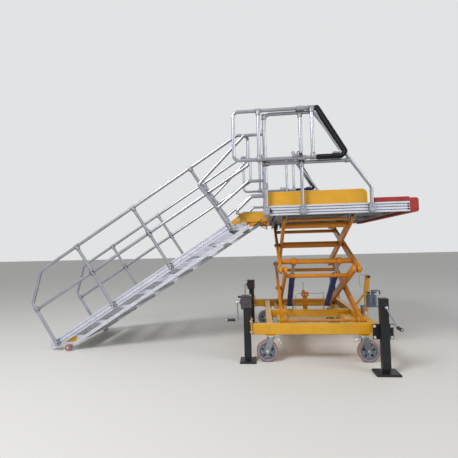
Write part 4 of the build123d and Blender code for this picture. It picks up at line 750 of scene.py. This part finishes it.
cylinderLook = {"foot": (420, 430), "eye": (-525, 1131.5), "ports": (70, 792), "pipeOut": 56, "pipeR": 5,
                "clips": (260, 560), "gland": 838, "glandRing": 788, "pinHalf": 60}
footY, footZ = cylinderLook["foot"]
eyeY, eyeZ = cylinderLook["eye"]
run = math.hypot(eyeY - footY, eyeZ - footZ)
along = Vector((0, (eyeY - footY) / run, (eyeZ - footZ) / run))
outward = Vector((0, -along.z, along.y))
if outward.z < 0:
    outward = -outward
ports, pipes, wipers, caps = newMesh(), newMesh(), newMesh(), newMesh()
for x in cylinderX:
    foot = Vector((x, footY, footZ))
    for distance in cylinderLook["ports"]:
        putLathe(ports, foot + along * distance + outward * 39, outward,
                 [(14, -3), (14, 8), (12, 10), (12, 12), (9, 12), (9, 20), (7, 22)], 20)
    start, end = [foot + along * distance + outward * cylinderLook["pipeOut"] for distance in cylinderLook["ports"]]
    putTube(pipes, [start - outward * 2, start + outward * 8, start + outward * 8 + along * 40,
                    end + outward * 8 - along * 40, end + outward * 8, end - outward * 2],
            cylinderLook["pipeR"], 14, (1, 0, 0))
    for distance in cylinderLook["clips"]:
        putLathe(ports, foot + along * distance, along, [(40.2, 0), (42.4, 0.6), (42.4, 17.4), (40.2, 18)], 40,
                 closed=True)
        putSlab(ports, foot + along * (distance + 9) + outward * 53, along, (1, 0, 0), (18, 20, 26))
    putLathe(wipers, foot + along * cylinderLook["gland"], along,
             [(44.3, 0), (44.3, 3.6), (38, 5), (23, 5), (22.4, 3)], 40, closed=True)
    putLathe(wipers, foot + along * cylinderLook["glandRing"], along, [(44.2, 0), (45, 0.8), (45, 4), (44.2, 5)], 40,
             closed=True)
    for end in (-1, 1):
        putLathe(caps, (x + end * cylinderLook["pinHalf"], footY, footZ), (end, 0, 0),
                 [(14.6, -1), (19, 0), (19, 3), (13, 4), (13, 6)], 24)
finishPiece("cylinderPorts", ports, "barrels", blueEnamel)
finishPiece("cylinderPipes", pipes, "barrels", brightZinc)
finishPiece("cylinderWipers", wipers, "barrels", blackRubber)
finishPiece("cylinderPinCaps", caps, "base", oiledSteel)
print("cylinder pieces made")

# platform: slip-on fittings where rails meet, collars, bolts, knobs and brackets along the side profiles

railLook = {"y": 1100, "innerY": 630, "tubeR": 20, "postX": (-800, -390, 367), "lowZ": 2285, "midZ": 2025,
            "innerTopZ": 2828, "topZ": 2860, "slopeTopX": -235, "slopeDrop": 885,
            "screwAlong": 26, "screwBranch": 42, "screwOut": 27}
fittings, screws = newMesh(), newMesh()
for side in (-1, 1):
    railY, innerY = side * railLook["y"], side * railLook["innerY"]
    (cornerX, postX, endX), slopeTopX = railLook["postX"], railLook["slopeTopX"]
    lengthwise, upright, inward, outside = (1, 0, 0), (0, 0, 1), (0, -side, 0), (0, side, 0)
    fittingTable = [
        # place, the way the run goes, the way the branch goes
        ((postX, railY, railLook["topZ"]), lengthwise, (0, 0, -1)),
        ((postX, railY, railLook["lowZ"]), lengthwise, upright),
        ((postX, railY, railLook["lowZ"]), lengthwise, (0, 0, -1)),
        ((cornerX, railY, railLook["lowZ"]), upright, lengthwise)]
    for y, way in ((railY, inward), (innerY, outside)):
        for z in (railLook["lowZ"], railLook["innerTopZ"], railLook["midZ"]):
            fittingTable.append(((cornerX, y, z), upright, way))
    for at, axis, branch in fittingTable:
        putTee(fittings, at, axis, branch, railLook["tubeR"])
        toFace = Vector((0, side * railLook["screwOut"], 0))
        for shift in (-railLook["screwAlong"], railLook["screwAlong"]):
            putSocketScrew(screws, Vector(at) + Vector(axis) * shift + toFace, outside)
        crosswise = branch[1] != 0  # its screw can't face outward, so it faces the stair
        branchFace = Vector((-railLook["screwOut"], 0, 0)) if crosswise else toFace
        putSocketScrew(screws, Vector(at) + Vector(branch) * railLook["screwBranch"] + branchFace,
                       (-1, 0, 0) if crosswise else outside)
    # a sleeve where the lower rail meets the sloping one
    slopeX = slopeTopX + (railLook["topZ"] - railLook["lowZ"]) / railLook["slopeDrop"] * (endX - slopeTopX)
    putLathe(fittings, (slopeX - 62, railY, railLook["lowZ"]), lengthwise,
             [(24, 0), (27, 1.5), (27, 7), (26, 8), (26, 40), (27, 44), (24, 46)], 28)
finishPiece("railFittings", fittings, "platform", castAluminium)
finishPiece("railFittingScrews", screws, "platform", darkScrewSteel)

# a collar on top of each post clamp, and two bolts through its outer cheek
clampLook = {"topZ": 1782, "faceY": 1122, "boltZ": (1718, 1762), "bolt": 8}
collars, bolts = newMesh(), newMesh()
for side in (-1, 1):
    for x in railLook["postX"]:
        for z in clampLook["boltZ"]:
            putBolt(bolts, (x, side * clampLook["faceY"], z), (0, side, 0), clampLook["bolt"])
        putLathe(collars, (x, side * railLook["y"], clampLook["topZ"]), (0, 0, 1),
                 [(28, -4), (28, 5), (24, 9), (20.2, 9)], 28)
finishPiece("postClampCheeks", collars, "platform", castAluminium, edgeMm=1.2)
finishPiece("postClampBolts", bolts, "platform", brightZinc)

# small fittings on the near and far profiles: star knob, three black cap screws, pale end bracket, end cap
profileLook = {"faceY": 1080, "knobX": -752, "knobZ": 1741, "lobes": 5, "lobeOut": 16, "screwX": 760,
               "screwZ": (1714, 1741, 1768), "bracketZ": 1672}
knobs, brackets, caps = newMesh(), newMesh(), newMesh()
for side in (-1, 1):
    faceY, knobX, knobZ = side * profileLook["faceY"], profileLook["knobX"], profileLook["knobZ"]
    putLathe(knobs, (knobX, faceY, knobZ), (0, side, 0),
             [(9, 0), (11, 6), (14, 9), (17, 13), (17, 19), (9, 24), (2, 25)], 24)
    for lobe in range(profileLook["lobes"]):
        angle = 2 * math.pi * lobe / profileLook["lobes"] + 0.3
        putLathe(knobs, (knobX + profileLook["lobeOut"] * math.cos(angle), faceY + side * 9,
                         knobZ + profileLook["lobeOut"] * math.sin(angle)), (0, side, 0),
                 [(4, 0), (8, 2), (8.5, 6), (6, 11), (2, 12)], 16)
    for z in profileLook["screwZ"]:
        putLathe(knobs, (profileLook["screwX"], faceY, z), (0, side, 0),
                 [(8.5, 0), (8.5, 4), (6.5, 6), (6.5, 9), (4, 10)], 18)
    bottom = profileLook["bracketZ"]
    putBlock(brackets, (-826, side * 1040, bottom), (-781, side * 1104, bottom + 5))
    putBlock(brackets, (-785, side * 1040, bottom), (-776, side * 1098, bottom + 70))
    putBlock(caps, (-778.5, side * 1042, 1693), (-775, side * 1079, 1797))
finishPiece("profileKnobs", knobs, "platform", blackNylon)
finishPiece("profileEndBrackets", brackets, "platform", castAluminium, edgeMm=1)

# under the stair head: orange hinge brackets, and sloping yellow plates that carry the cheeks on beside the stringers
headLook = {"y": (548, 590), "x": (-885, -768), "z": (1660, 1668), "webX": -783, "webZ": 1606, "gusset": (112, 34, 8),
            "plateY": 546.4, "plateSlope": (-0.762, 0, -0.648), "plate": (176, 4, 62)}
brackets, plates = newMesh(), newMesh()
for side in (-1, 1):
    inner, outer = [side * y for y in headLook["y"]]
    putBlock(brackets, (headLook["x"][0], inner, headLook["z"][0]), (headLook["x"][1], outer, headLook["z"][1]))
    putBlock(brackets, (headLook["webX"], inner, headLook["webZ"]), (headLook["x"][1], outer, headLook["z"][1]))
    putSlab(brackets, (-826, (inner + outer) / 2, 1636), (1, 0, -0.52), (0, 1, 0), headLook["gusset"])
    putSlab(plates, (-1173, side * headLook["plateY"], 1698), headLook["plateSlope"], (0, 1, 0), headLook["plate"])
finishPiece("stairHeadBrackets", brackets, "platform", armEnamel, edgeMm=1.5)
finishPiece("cheekSlopePlates", plates, "platform", yellowPowderCoat, edgeMm=1.2)
finishPiece("profileEndCaps", caps, "platform", greyNylon, edgeMm=1)

# pressed anti-slip ribs of the deck planks and landing, 3 mm wide on a 13 mm pitch
ribLook = {"pitch": 13.0, "width": 3.0, "height": 1.6, "planks": 7, "margin": 12, "deckHalf": 1040, "halfX": 770,
           "deckZ": 1800, "landingX": (-1092, -782), "landingHalf": 528}
mesh = newMesh()
plankWide = 2 * ribLook["deckHalf"] / ribLook["planks"]
ribbedWide = plankWide - 2 * ribLook["margin"]
for plank in range(ribLook["planks"]):
    start = -ribLook["deckHalf"] + plank * plankWide
    count = int(ribbedWide / ribLook["pitch"])
    for index in range(count + 1):
        y = start + ribLook["margin"] + index * ribbedWide / count
        if abs(y) < ribLook["deckHalf"] - 10:
            putBlock(mesh, (-ribLook["halfX"], y - ribLook["width"] / 2, ribLook["deckZ"] - 0.6),
                     (ribLook["halfX"], y + ribLook["width"] / 2, ribLook["deckZ"] + ribLook["height"]))
finishPiece("deckRibs", mesh, "platform", deckAluminium)
mesh = newMesh()
half, deckZ = ribLook["landingHalf"], ribLook["deckZ"]
x = ribLook["landingX"][0]
while x < ribLook["landingX"][1]:
    putBlock(mesh, (x - ribLook["width"] / 2, -half, deckZ - 2.6), (x + ribLook["width"] / 2, half, deckZ - 0.6))
    x += ribLook["pitch"]
putBlock(mesh, (-1106, -half, deckZ - 30), (-1101, half, deckZ))
finishPiece("landingRibs", mesh, "platform", deckAluminium)

# bumper: moulded ribs along its face, and the screws along its top
bumperLook = {"faceX": 869, "half": 1074, "ribZ": (1716, 1740, 1764, 1788, 1812), "ribR": 4,
              "screws": 8, "firstScrew": -980, "screwStep": 280}
mesh = newMesh()
length = 2 * bumperLook["half"]
for z in bumperLook["ribZ"]:
    putLathe(mesh, (bumperLook["faceX"], -bumperLook["half"], z), (0, 1, 0),
             [(0.5, 0), (bumperLook["ribR"], 2), (bumperLook["ribR"], length - 2), (0.5, length)], 8)
finishPiece("bumperRibs", mesh, "platform", redRubber)
mesh = newMesh()
for index in range(bumperLook["screws"]):
    y = bumperLook["firstScrew"] + index * bumperLook["screwStep"]
    putLathe(mesh, (790, y, 1840), (0, 0, 1), [(11, -1), (11, 1.5), (8, 3), (3, 3)], 20)
finishPiece("bumperScrews", mesh, "platform", darkScrewSteel)
print("platform pieces made")

# sliding guards: fittings, foam, brace clip at the tip, lock plate, knobs and clips on the fixed sleeve

guardLook = {"y": 1150, "postX": (-866, -265), "railZ": (2325, 2890), "tubeR": 20, "screwAlong": 26,
             "screwBranch": 43, "screwOut": 27, "sleeveX": -390, "sleeveHalf": 50, "plateOut": 31}
lowZ, highZ = guardLook["railZ"]

# three soft lobes side by side, drawn round the nose tube; the look's last three numbers place the painted highlight
# line in a channel and give its thickness
foamLook = {"lobeR": 10.5, "lobeStep": 17.0, "middleShare": 0.9, "half": 23.0, "lobeDeep": 12, "edgeShare": 0.35,
            "bend": 34, "stepMm": 9, "taper": (0.80, 0.93, 0.985), "highlightAt": 8.1, "highlightOut": 18.4, "highlightR": 2.0}
outline = []
for sign in (1, -1):
    lobes = (sign, 0, -sign)
    for lobe in lobes:
        for step in range(9):
            angle = math.pi * step / 8
            wide = foamLook["lobeR"] * math.cos(angle) * (1 if lobe else foamLook["middleShare"])
            deep = foamLook["half"] - foamLook["lobeDeep"] + foamLook["lobeDeep"] * math.sin(angle)
            if (lobe, step) in ((lobes[0], 0), (lobes[-1], 8)):  # the outer edges are rounder
                deep *= foamLook["edgeShare"]
            outline.append((lobe * foamLook["lobeStep"] + sign * wide, sign * deep))

for label, side in (("near", -1), ("far", 1)):
    y, body, outward = side * guardLook["y"], f"guard_{label}", (0, side, 0)
    screwY = y + side * guardLook["screwOut"]
    mesh, screws = newMesh(), newMesh()
    for x in guardLook["postX"]:
        for z, branch in ((lowZ, 1), (highZ, -1)):
            putTee(mesh, (x, y, z), (1, 0, 0), (0, 0, branch), guardLook["tubeR"])
            for shift in (-guardLook["screwAlong"], guardLook["screwAlong"]):
                putSocketScrew(screws, (x + shift, screwY, z), outward)
            putSocketScrew(screws, (x, screwY, z + branch * guardLook["screwBranch"]), outward)
    putLathe(mesh, (-312, y, highZ), (1, 0, 0), [(20, -12), (26, -11), (26, 11), (20, 12)], 28)
    finishPiece(f"guardFittings_{label}", mesh, body, castAluminium)
    finishPiece(f"guardFittingScrews_{label}", screws, body, darkScrewSteel)

    route = [(-230, y, 2887), (-203, y, 2887), (91, y, 2368), (40, y, 2324), (-230, y, 2325)]
    path = roundedPath(route, foamLook["bend"], 12)
    fine = []
    for first, second in zip(path, path[1:]):
        parts = max(1, int((second - first).length / foamLook["stepMm"]))
        fine += [first.lerp(second, step / parts) for step in range(parts)]
    fine.append(path[-1])
    # a pale line in the outer channel on each face paints the highlight that the lobes' flanks catch
    highlightLines = newMesh()
    for face in (-1, 1):
        ring = [(foamLook["highlightAt"] + foamLook["highlightR"] * math.cos(math.pi * step / 4),
                 face * foamLook["highlightOut"] + foamLook["highlightR"] * math.sin(math.pi * step / 4)) for step in range(8)]
        putSweep(highlightLines, fine[2:-2], ring, (0, 1, 0))
    finishPiece(f"foamHighlightLines_{label}", highlightLines, body, foamHighlightPaint, angle=60)
    mesh = newMesh()
    putSweep(mesh, fine, outline, (0, 1, 0))
    count, rings = len(outline), len(fine)
    for ring, middle in enumerate(fine):
        # the ends taper over their last rings, and a slow swell keeps the edge from being ruled
        toEnd = min(ring, rings - 1 - ring)
        scale = foamLook["taper"][toEnd] if toEnd < len(foamLook["taper"]) else 1.0
        scale *= 1 + 0.018 * math.sin(ring * 0.83 + side) + 0.010 * math.sin(ring * 2.1)
        for index in range(ring * count, (ring + 1) * count):
            mesh["verts"][index] = middle + (mesh["verts"][index] - middle) * scale
    pad = finishPiece(f"foamPad_{label}", mesh, body, closedCellFoam, angle=60)
    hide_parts(f"guard_pad_{label}")

    # bent clip that holds the brace's returned end to the foam-covered bar
    mesh = newMesh()
    putBlock(mesh, (-34, y - 15, 2351.5), (4, y + 15, 2353.5))
    putTube(mesh, [(-15, y - 15, 2352), (-15, y - 15, 2380), (-15, y + 15, 2380), (-15, y + 15, 2352)], 3, 8,
            (1, 0, 0))
    putLathe(mesh, (-44, y, 2364.6), (-1, 0, 0), [(12, -2), (12.6, 0), (12.6, 3), (9, 6)], 24)
    finishPiece(f"braceClip_{label}", mesh, body, castAluminium)

    # lock plate beside the sleeve on the fixed post, with its black clips and knob
    front = y + side * guardLook["plateOut"]
    mesh = newMesh()
    putBlock(mesh, (-500, front, 2336), (-380, front + side * 5, 2364))
    finishPiece(f"lockPlate_{label}", mesh, "platform", castAluminium, edgeMm=1)
    mesh = newMesh()
    for x in (-488, -432):
        putTube(mesh, [(x - 13, front + side * 8, 2362), (x - 11, front + side * 10, 2384),
                       (x + 11, front + side * 10, 2384), (x + 13, front + side * 8, 2362)], 4.5, 9)
    putLathe(mesh, (-405, front + side * 4, 2352), outward,
             [(6, 0), (7, 8), (15, 12), (17, 18), (15, 25), (4, 28)], 20)
    finishPiece(f"lockClips_{label}", mesh, "platform", blackNylon)
    mesh = newMesh()
    sleeveX = guardLook["sleeveX"]
    for z in guardLook["railZ"]:
        for end in (-1, 1):
            putLathe(mesh, (sleeveX + end * guardLook["sleeveHalf"], y, z), (-end, 0, 0),
                     [(25, 0), (29.5, 1.5), (29.5, 8), (27.2, 9.5)], 32)
        putLathe(mesh, (sleeveX, y, z + 26), (0, 0, 1), [(9, 0), (9, 6), (6, 8), (6, 12)], 6)
    finishPiece(f"sleeveRims_{label}", mesh, "platform", castAluminium)
print("guard pieces made")

# stair: places are given as distance down the slope from the upper pivot and up square to it

stairLook = {"slopeDegrees": 32.3, "pivotX": (-1147, -886), "pivotZ": 1695, "railY": 570, "tubeR": 21, "posts": 4,
             "firstPost": 166, "postStep": 935, "topRail": 940, "midRail": 527, "railEnd": 2971,
             "screwAlong": 27, "screwOut": 28, "screwBranch": 44, "boltY": 591, "bolt": 10,
             "treads": 8, "firstTread": 205.857, "treadStep": 374.285, "pinY": 528,
             "lowerBack": 220.613, "lowerDown": -139.466, "footAt": 3087.85}
slope = math.radians(stairLook["slopeDegrees"])
down, up = Vector((-math.cos(slope), 0, -math.sin(slope))), Vector((-math.sin(slope), 0, math.cos(slope)))
treadsAt = [stairLook["firstTread"] + index * stairLook["treadStep"] for index in range(stairLook["treads"])]


def stairPoint(downMm, upMm, y):
    return Vector((stairLook["pivotX"][0], y, stairLook["pivotZ"])) + down * downMm + up * upMm


def lowerPoint(downMm, y):
    # the same place carried over to the lower rail
    return stairPoint(downMm - stairLook["lowerBack"], stairLook["lowerDown"], y)


mesh, screws, bolts = newMesh(), newMesh(), newMesh()
postsAt = [stairLook["firstPost"] + index * stairLook["postStep"] for index in range(stairLook["posts"])]
for side in (-1, 1):
    railY, outward = side * stairLook["railY"], (0, side, 0)
    screwY = railY + side * stairLook["screwOut"]
    for at in postsAt[:-1]:
        for height, branches in ((stairLook["topRail"], (-up,)), (stairLook["midRail"], (up, -up))):
            for branch in branches:
                putTee(mesh, stairPoint(at, height, railY), down, branch, stairLook["tubeR"])
            for shift in (-stairLook["screwAlong"], stairLook["screwAlong"]):
                putSocketScrew(screws, stairPoint(at + shift, height, screwY), outward)
            putSocketScrew(screws, stairPoint(at, height - stairLook["screwBranch"], screwY), outward)
    putTee(mesh, stairPoint(stairLook["railEnd"], stairLook["midRail"], railY), up, -down, stairLook["tubeR"])
    for at in postsAt:
        for height in (-20, 20):
            putBolt(bolts, stairPoint(at, height, side * stairLook["boltY"]), outward, stairLook["bolt"])
        putLathe(mesh, stairPoint(at, -2, railY), -up, [(21.2, -6), (23, -3), (23, 4), (18, 6)], 28)
        putLathe(mesh, stairPoint(at, 34, railY), up, [(27, 0), (27, 7), (22, 12), (21.2, 12)], 28)
finishPiece("handrailFittings", mesh, "stair", castAluminium)
finishPiece("handrailScrews", screws, "stair", darkScrewSteel)
finishPiece("handrailBolts", bolts, "stair", brightZinc)

# the pins' heads at every tread on both rails, and an orange wrap on the head of each lower rail
upperPins, lowerPins, heads = newMesh(), newMesh(), newMesh()
for side in (-1, 1):
    outward = (0, side, 0)
    for at in treadsAt:
        putLathe(upperPins, stairPoint(at, 0, side * stairLook["pinY"]), outward,
                 [(8, 0), (12.5, 0.5), (12.5, 4), (9, 6.5), (3, 7)], 20)
        putLathe(lowerPins, lowerPoint(at, side * stairLook["pinY"]), outward,
                 [(8, 0), (12, 0.5), (12, 4), (8, 6)], 20)
    centre = Vector((stairLook["pivotX"][1], side * 531.2, stairLook["pivotZ"])) + down * 75
    putSlab(heads, centre, down, (0, 1, 0), (164, 2, 47))
    end = lowerPoint(stairLook["footAt"], side * 571)
    putLathe(lowerPins, end - Vector((0, side * 1, 0)), outward, [(14, 0), (14, 2), (12, 2), (12, 8), (9, 10)], 20)
finishPiece("treadPinHeads", upperPins, "stair", brightZinc)
finishPiece("lowerRailPinHeads", lowerPins, "stair_lower", brightZinc)
finishPiece("lowerRailHeads", heads, "stair_lower", armEnamel)
mesh = newMesh()
for side in (-1, 1):
    for x in stairLook["pivotX"]:
        putLathe(mesh, (x, side * 552, stairLook["pivotZ"]), (0, side, 0), [(13, -0.5), (13, 3), (10, 5), (8, 8)], 24)
finishPiece("stairPivotCaps", mesh, "platform", brightZinc)
# turned hub in each foot roller
rollerLook = {"y": 536, "middle": 15, "half": 15}
mesh = newMesh()
for side in (-1, 1):
    at = lowerPoint(stairLook["footAt"], side * rollerLook["y"])
    for end in (-1, 1):
        centre = at + Vector((0, side * rollerLook["middle"] + end * rollerLook["half"], 0))
        putLathe(mesh, centre, (0, end, 0), [(26, -2), (26, 0.6), (20, 1.8), (11, 1.8), (10, 0)], 28)
finishPiece("footRollerHubs", mesh, "foot_rollers", greyNylon)

# treads: ribs across each step on a 13 mm pitch, end plates, and a grooved nosing; the lowest step's is yellow
treadLook = {"pitch": 13.0, "width": 4.0, "height": 1.8, "half": 492.0, "endY": 494.2, "frontMm": 22, "backMm": 275,
             "topMm": 15, "grooves": 5, "groovePitch": 7.2}
half = treadLook["half"]
for index, at in enumerate(treadsAt):
    pin = stairPoint(at, 0, 0)
    front, back, top = pin.x - treadLook["frontMm"], pin.x + treadLook["backMm"], pin.z + treadLook["topMm"]
    lowest = index == len(treadsAt) - 1
    mesh = newMesh()
    x = front + 46
    while x < back - 6:
        putBlock(mesh, (x, -half, top - 0.5), (x + treadLook["width"], half, top + treadLook["height"]))
        x += treadLook["pitch"]
    finishPiece(f"treadRibs_{index + 1}", mesh, f"tread_{index + 1}", treadAluminium)
    nosing, ends = newMesh(), newMesh()
    putBlock(nosing, (front - 2.5, -half, top - 34), (front + 0.5, half, top + 2.4))
    putBlock(nosing, (front - 2.5, -half, top - 0.5), (front + 38, half, top + 1.6))
    for groove in range(treadLook["grooves"]):
        grooveX = groove * treadLook["groovePitch"]
        putBlock(nosing, (front + 3 + grooveX, -half, top + 1), (front + 6.4 + grooveX, half, top + 3.4))
    for end in (-1, 1):
        endY = end * treadLook["endY"]
        if lowest:  # yellow plates stand on below it
            putBlock(nosing, (front - 68, endY, top - 94), (front + 150, endY + end * 3, top - 20))
        putBlock(ends, (front, endY, top - 41), (back, endY + end * 2, top))
    finishPiece(f"treadEnds_{index + 1}", ends, f"tread_{index + 1}", millExtrusion)
    finishPiece(f"treadNosing_{index + 1}", nosing, f"tread_{index + 1}",
                yellowPowderCoat if lowest else millExtrusion, edgeMm=0.6)
print("stair pieces made")

# floor, light and camera
stageLook = {"floorHex": "#DAD9D6", "floorRough": 0.7, "floorHalf": 40, "backdropHex": "#E2E3E4", "skyStrength": 0.5,
             "keyEnergy": 470.0, "keySize": 3.0, "fillEnergy": 120.0, "fillSize": 3.5}

half = stageLook["floorHalf"]
floorMesh = bpy.data.meshes.new("floor")
floorMesh.from_pydata([(-half, -half, 0), (half, -half, 0), (half, half, 0), (-half, half, 0)], [], [(0, 1, 2, 3)])
floor = addObject("floor", floorMesh)
# a painted studio floor: pale and evenly matt
floorMaterial = bpy.data.materials.new("paleStudioFloor")
floorMaterial.use_nodes = True
floorShader = floorMaterial.node_tree.nodes["Principled BSDF"]
floorShader.inputs["Base Color"].default_value = linearFromHex(stageLook["floorHex"])
floorShader.inputs["Roughness"].default_value = stageLook["floorRough"]
floorMesh.materials.append(floorMaterial)

# the sky lights the stand softly, and shows at full strength to the camera and in the metal
world = bpy.data.worlds.new("studioSky")
bpy.context.scene.world = world
world.use_nodes = True
sky = world.node_tree
sky.nodes.clear()
ray = addNode(sky, "ShaderNodeLightPath")
seen = addNode(sky, "ShaderNodeMath", {"operation": "MAXIMUM"},
               {0: ray.outputs["Is Camera Ray"], 1: ray.outputs["Is Glossy Ray"]})
strength = addNode(sky, "ShaderNodeMapRange", {"To Min": stageLook["skyStrength"], "To Max": 1.0},
                   {"Value": seen.outputs["Value"]})
backdrop = addNode(sky, "ShaderNodeBackground", {"Color": linearFromHex(stageLook["backdropHex"])},
                   {"Strength": strength.outputs["Result"]})
addNode(sky, "ShaderNodeOutputWorld", {}, {"Surface": backdrop.outputs["Background"]})


def addLamp(name, place, target, size, energy):
    lamp = bpy.data.lights.new(name, "AREA")
    lamp.shape = "DISK"
    lamp.size = size
    lamp.energy = energy
    holder = addObject(name, lamp)
    holder.location = place
    holder.rotation_euler = (Vector(target) - Vector(place)).to_track_quat("-Z", "Y").to_euler()
    return holder


keyLamp = addLamp("keyLamp", (-3.2, -5.5, 6.5), (0.4, 0, 1.2), stageLook["keySize"], stageLook["keyEnergy"])
fillLamp = addLamp("fillLamp", (6.0, -4.0, 4.0), (0.8, 0, 1.2), stageLook["fillSize"], stageLook["fillEnergy"])

# the camera was fitted to 20 marked points of the photograph; its turns are in radians
cameraLook = {"place": (0.7030, -5.0466, 1.348), "yaw": 0.0932, "pitch": 0.0506, "roll": -0.0252,
              "lensMm": 27.13, "sensorMm": 36}
yaw, pitch, roll = cameraLook["yaw"], cameraLook["pitch"], cameraLook["roll"]
ahead = Vector((-math.sin(yaw) * math.cos(pitch), math.cos(yaw) * math.cos(pitch), math.sin(pitch)))
level = Vector((math.cos(yaw), math.sin(yaw), 0))
above = level.cross(ahead)
right = level * math.cos(roll) + above * math.sin(roll)
upward = above * math.cos(roll) - level * math.sin(roll)
cameraData = bpy.data.cameras.new("camera")
cameraData.sensor_width = cameraLook["sensorMm"]
cameraData.lens = cameraLook["lensMm"]
camera = addObject("camera", cameraData)
camera.matrix_world = Matrix.Translation(cameraLook["place"]) @ Matrix((right, upward, -ahead)).transposed().to_4x4()
bpy.context.scene.camera = camera
bpy.context.scene.view_settings.view_transform = "Standard"
print("stage and camera set")
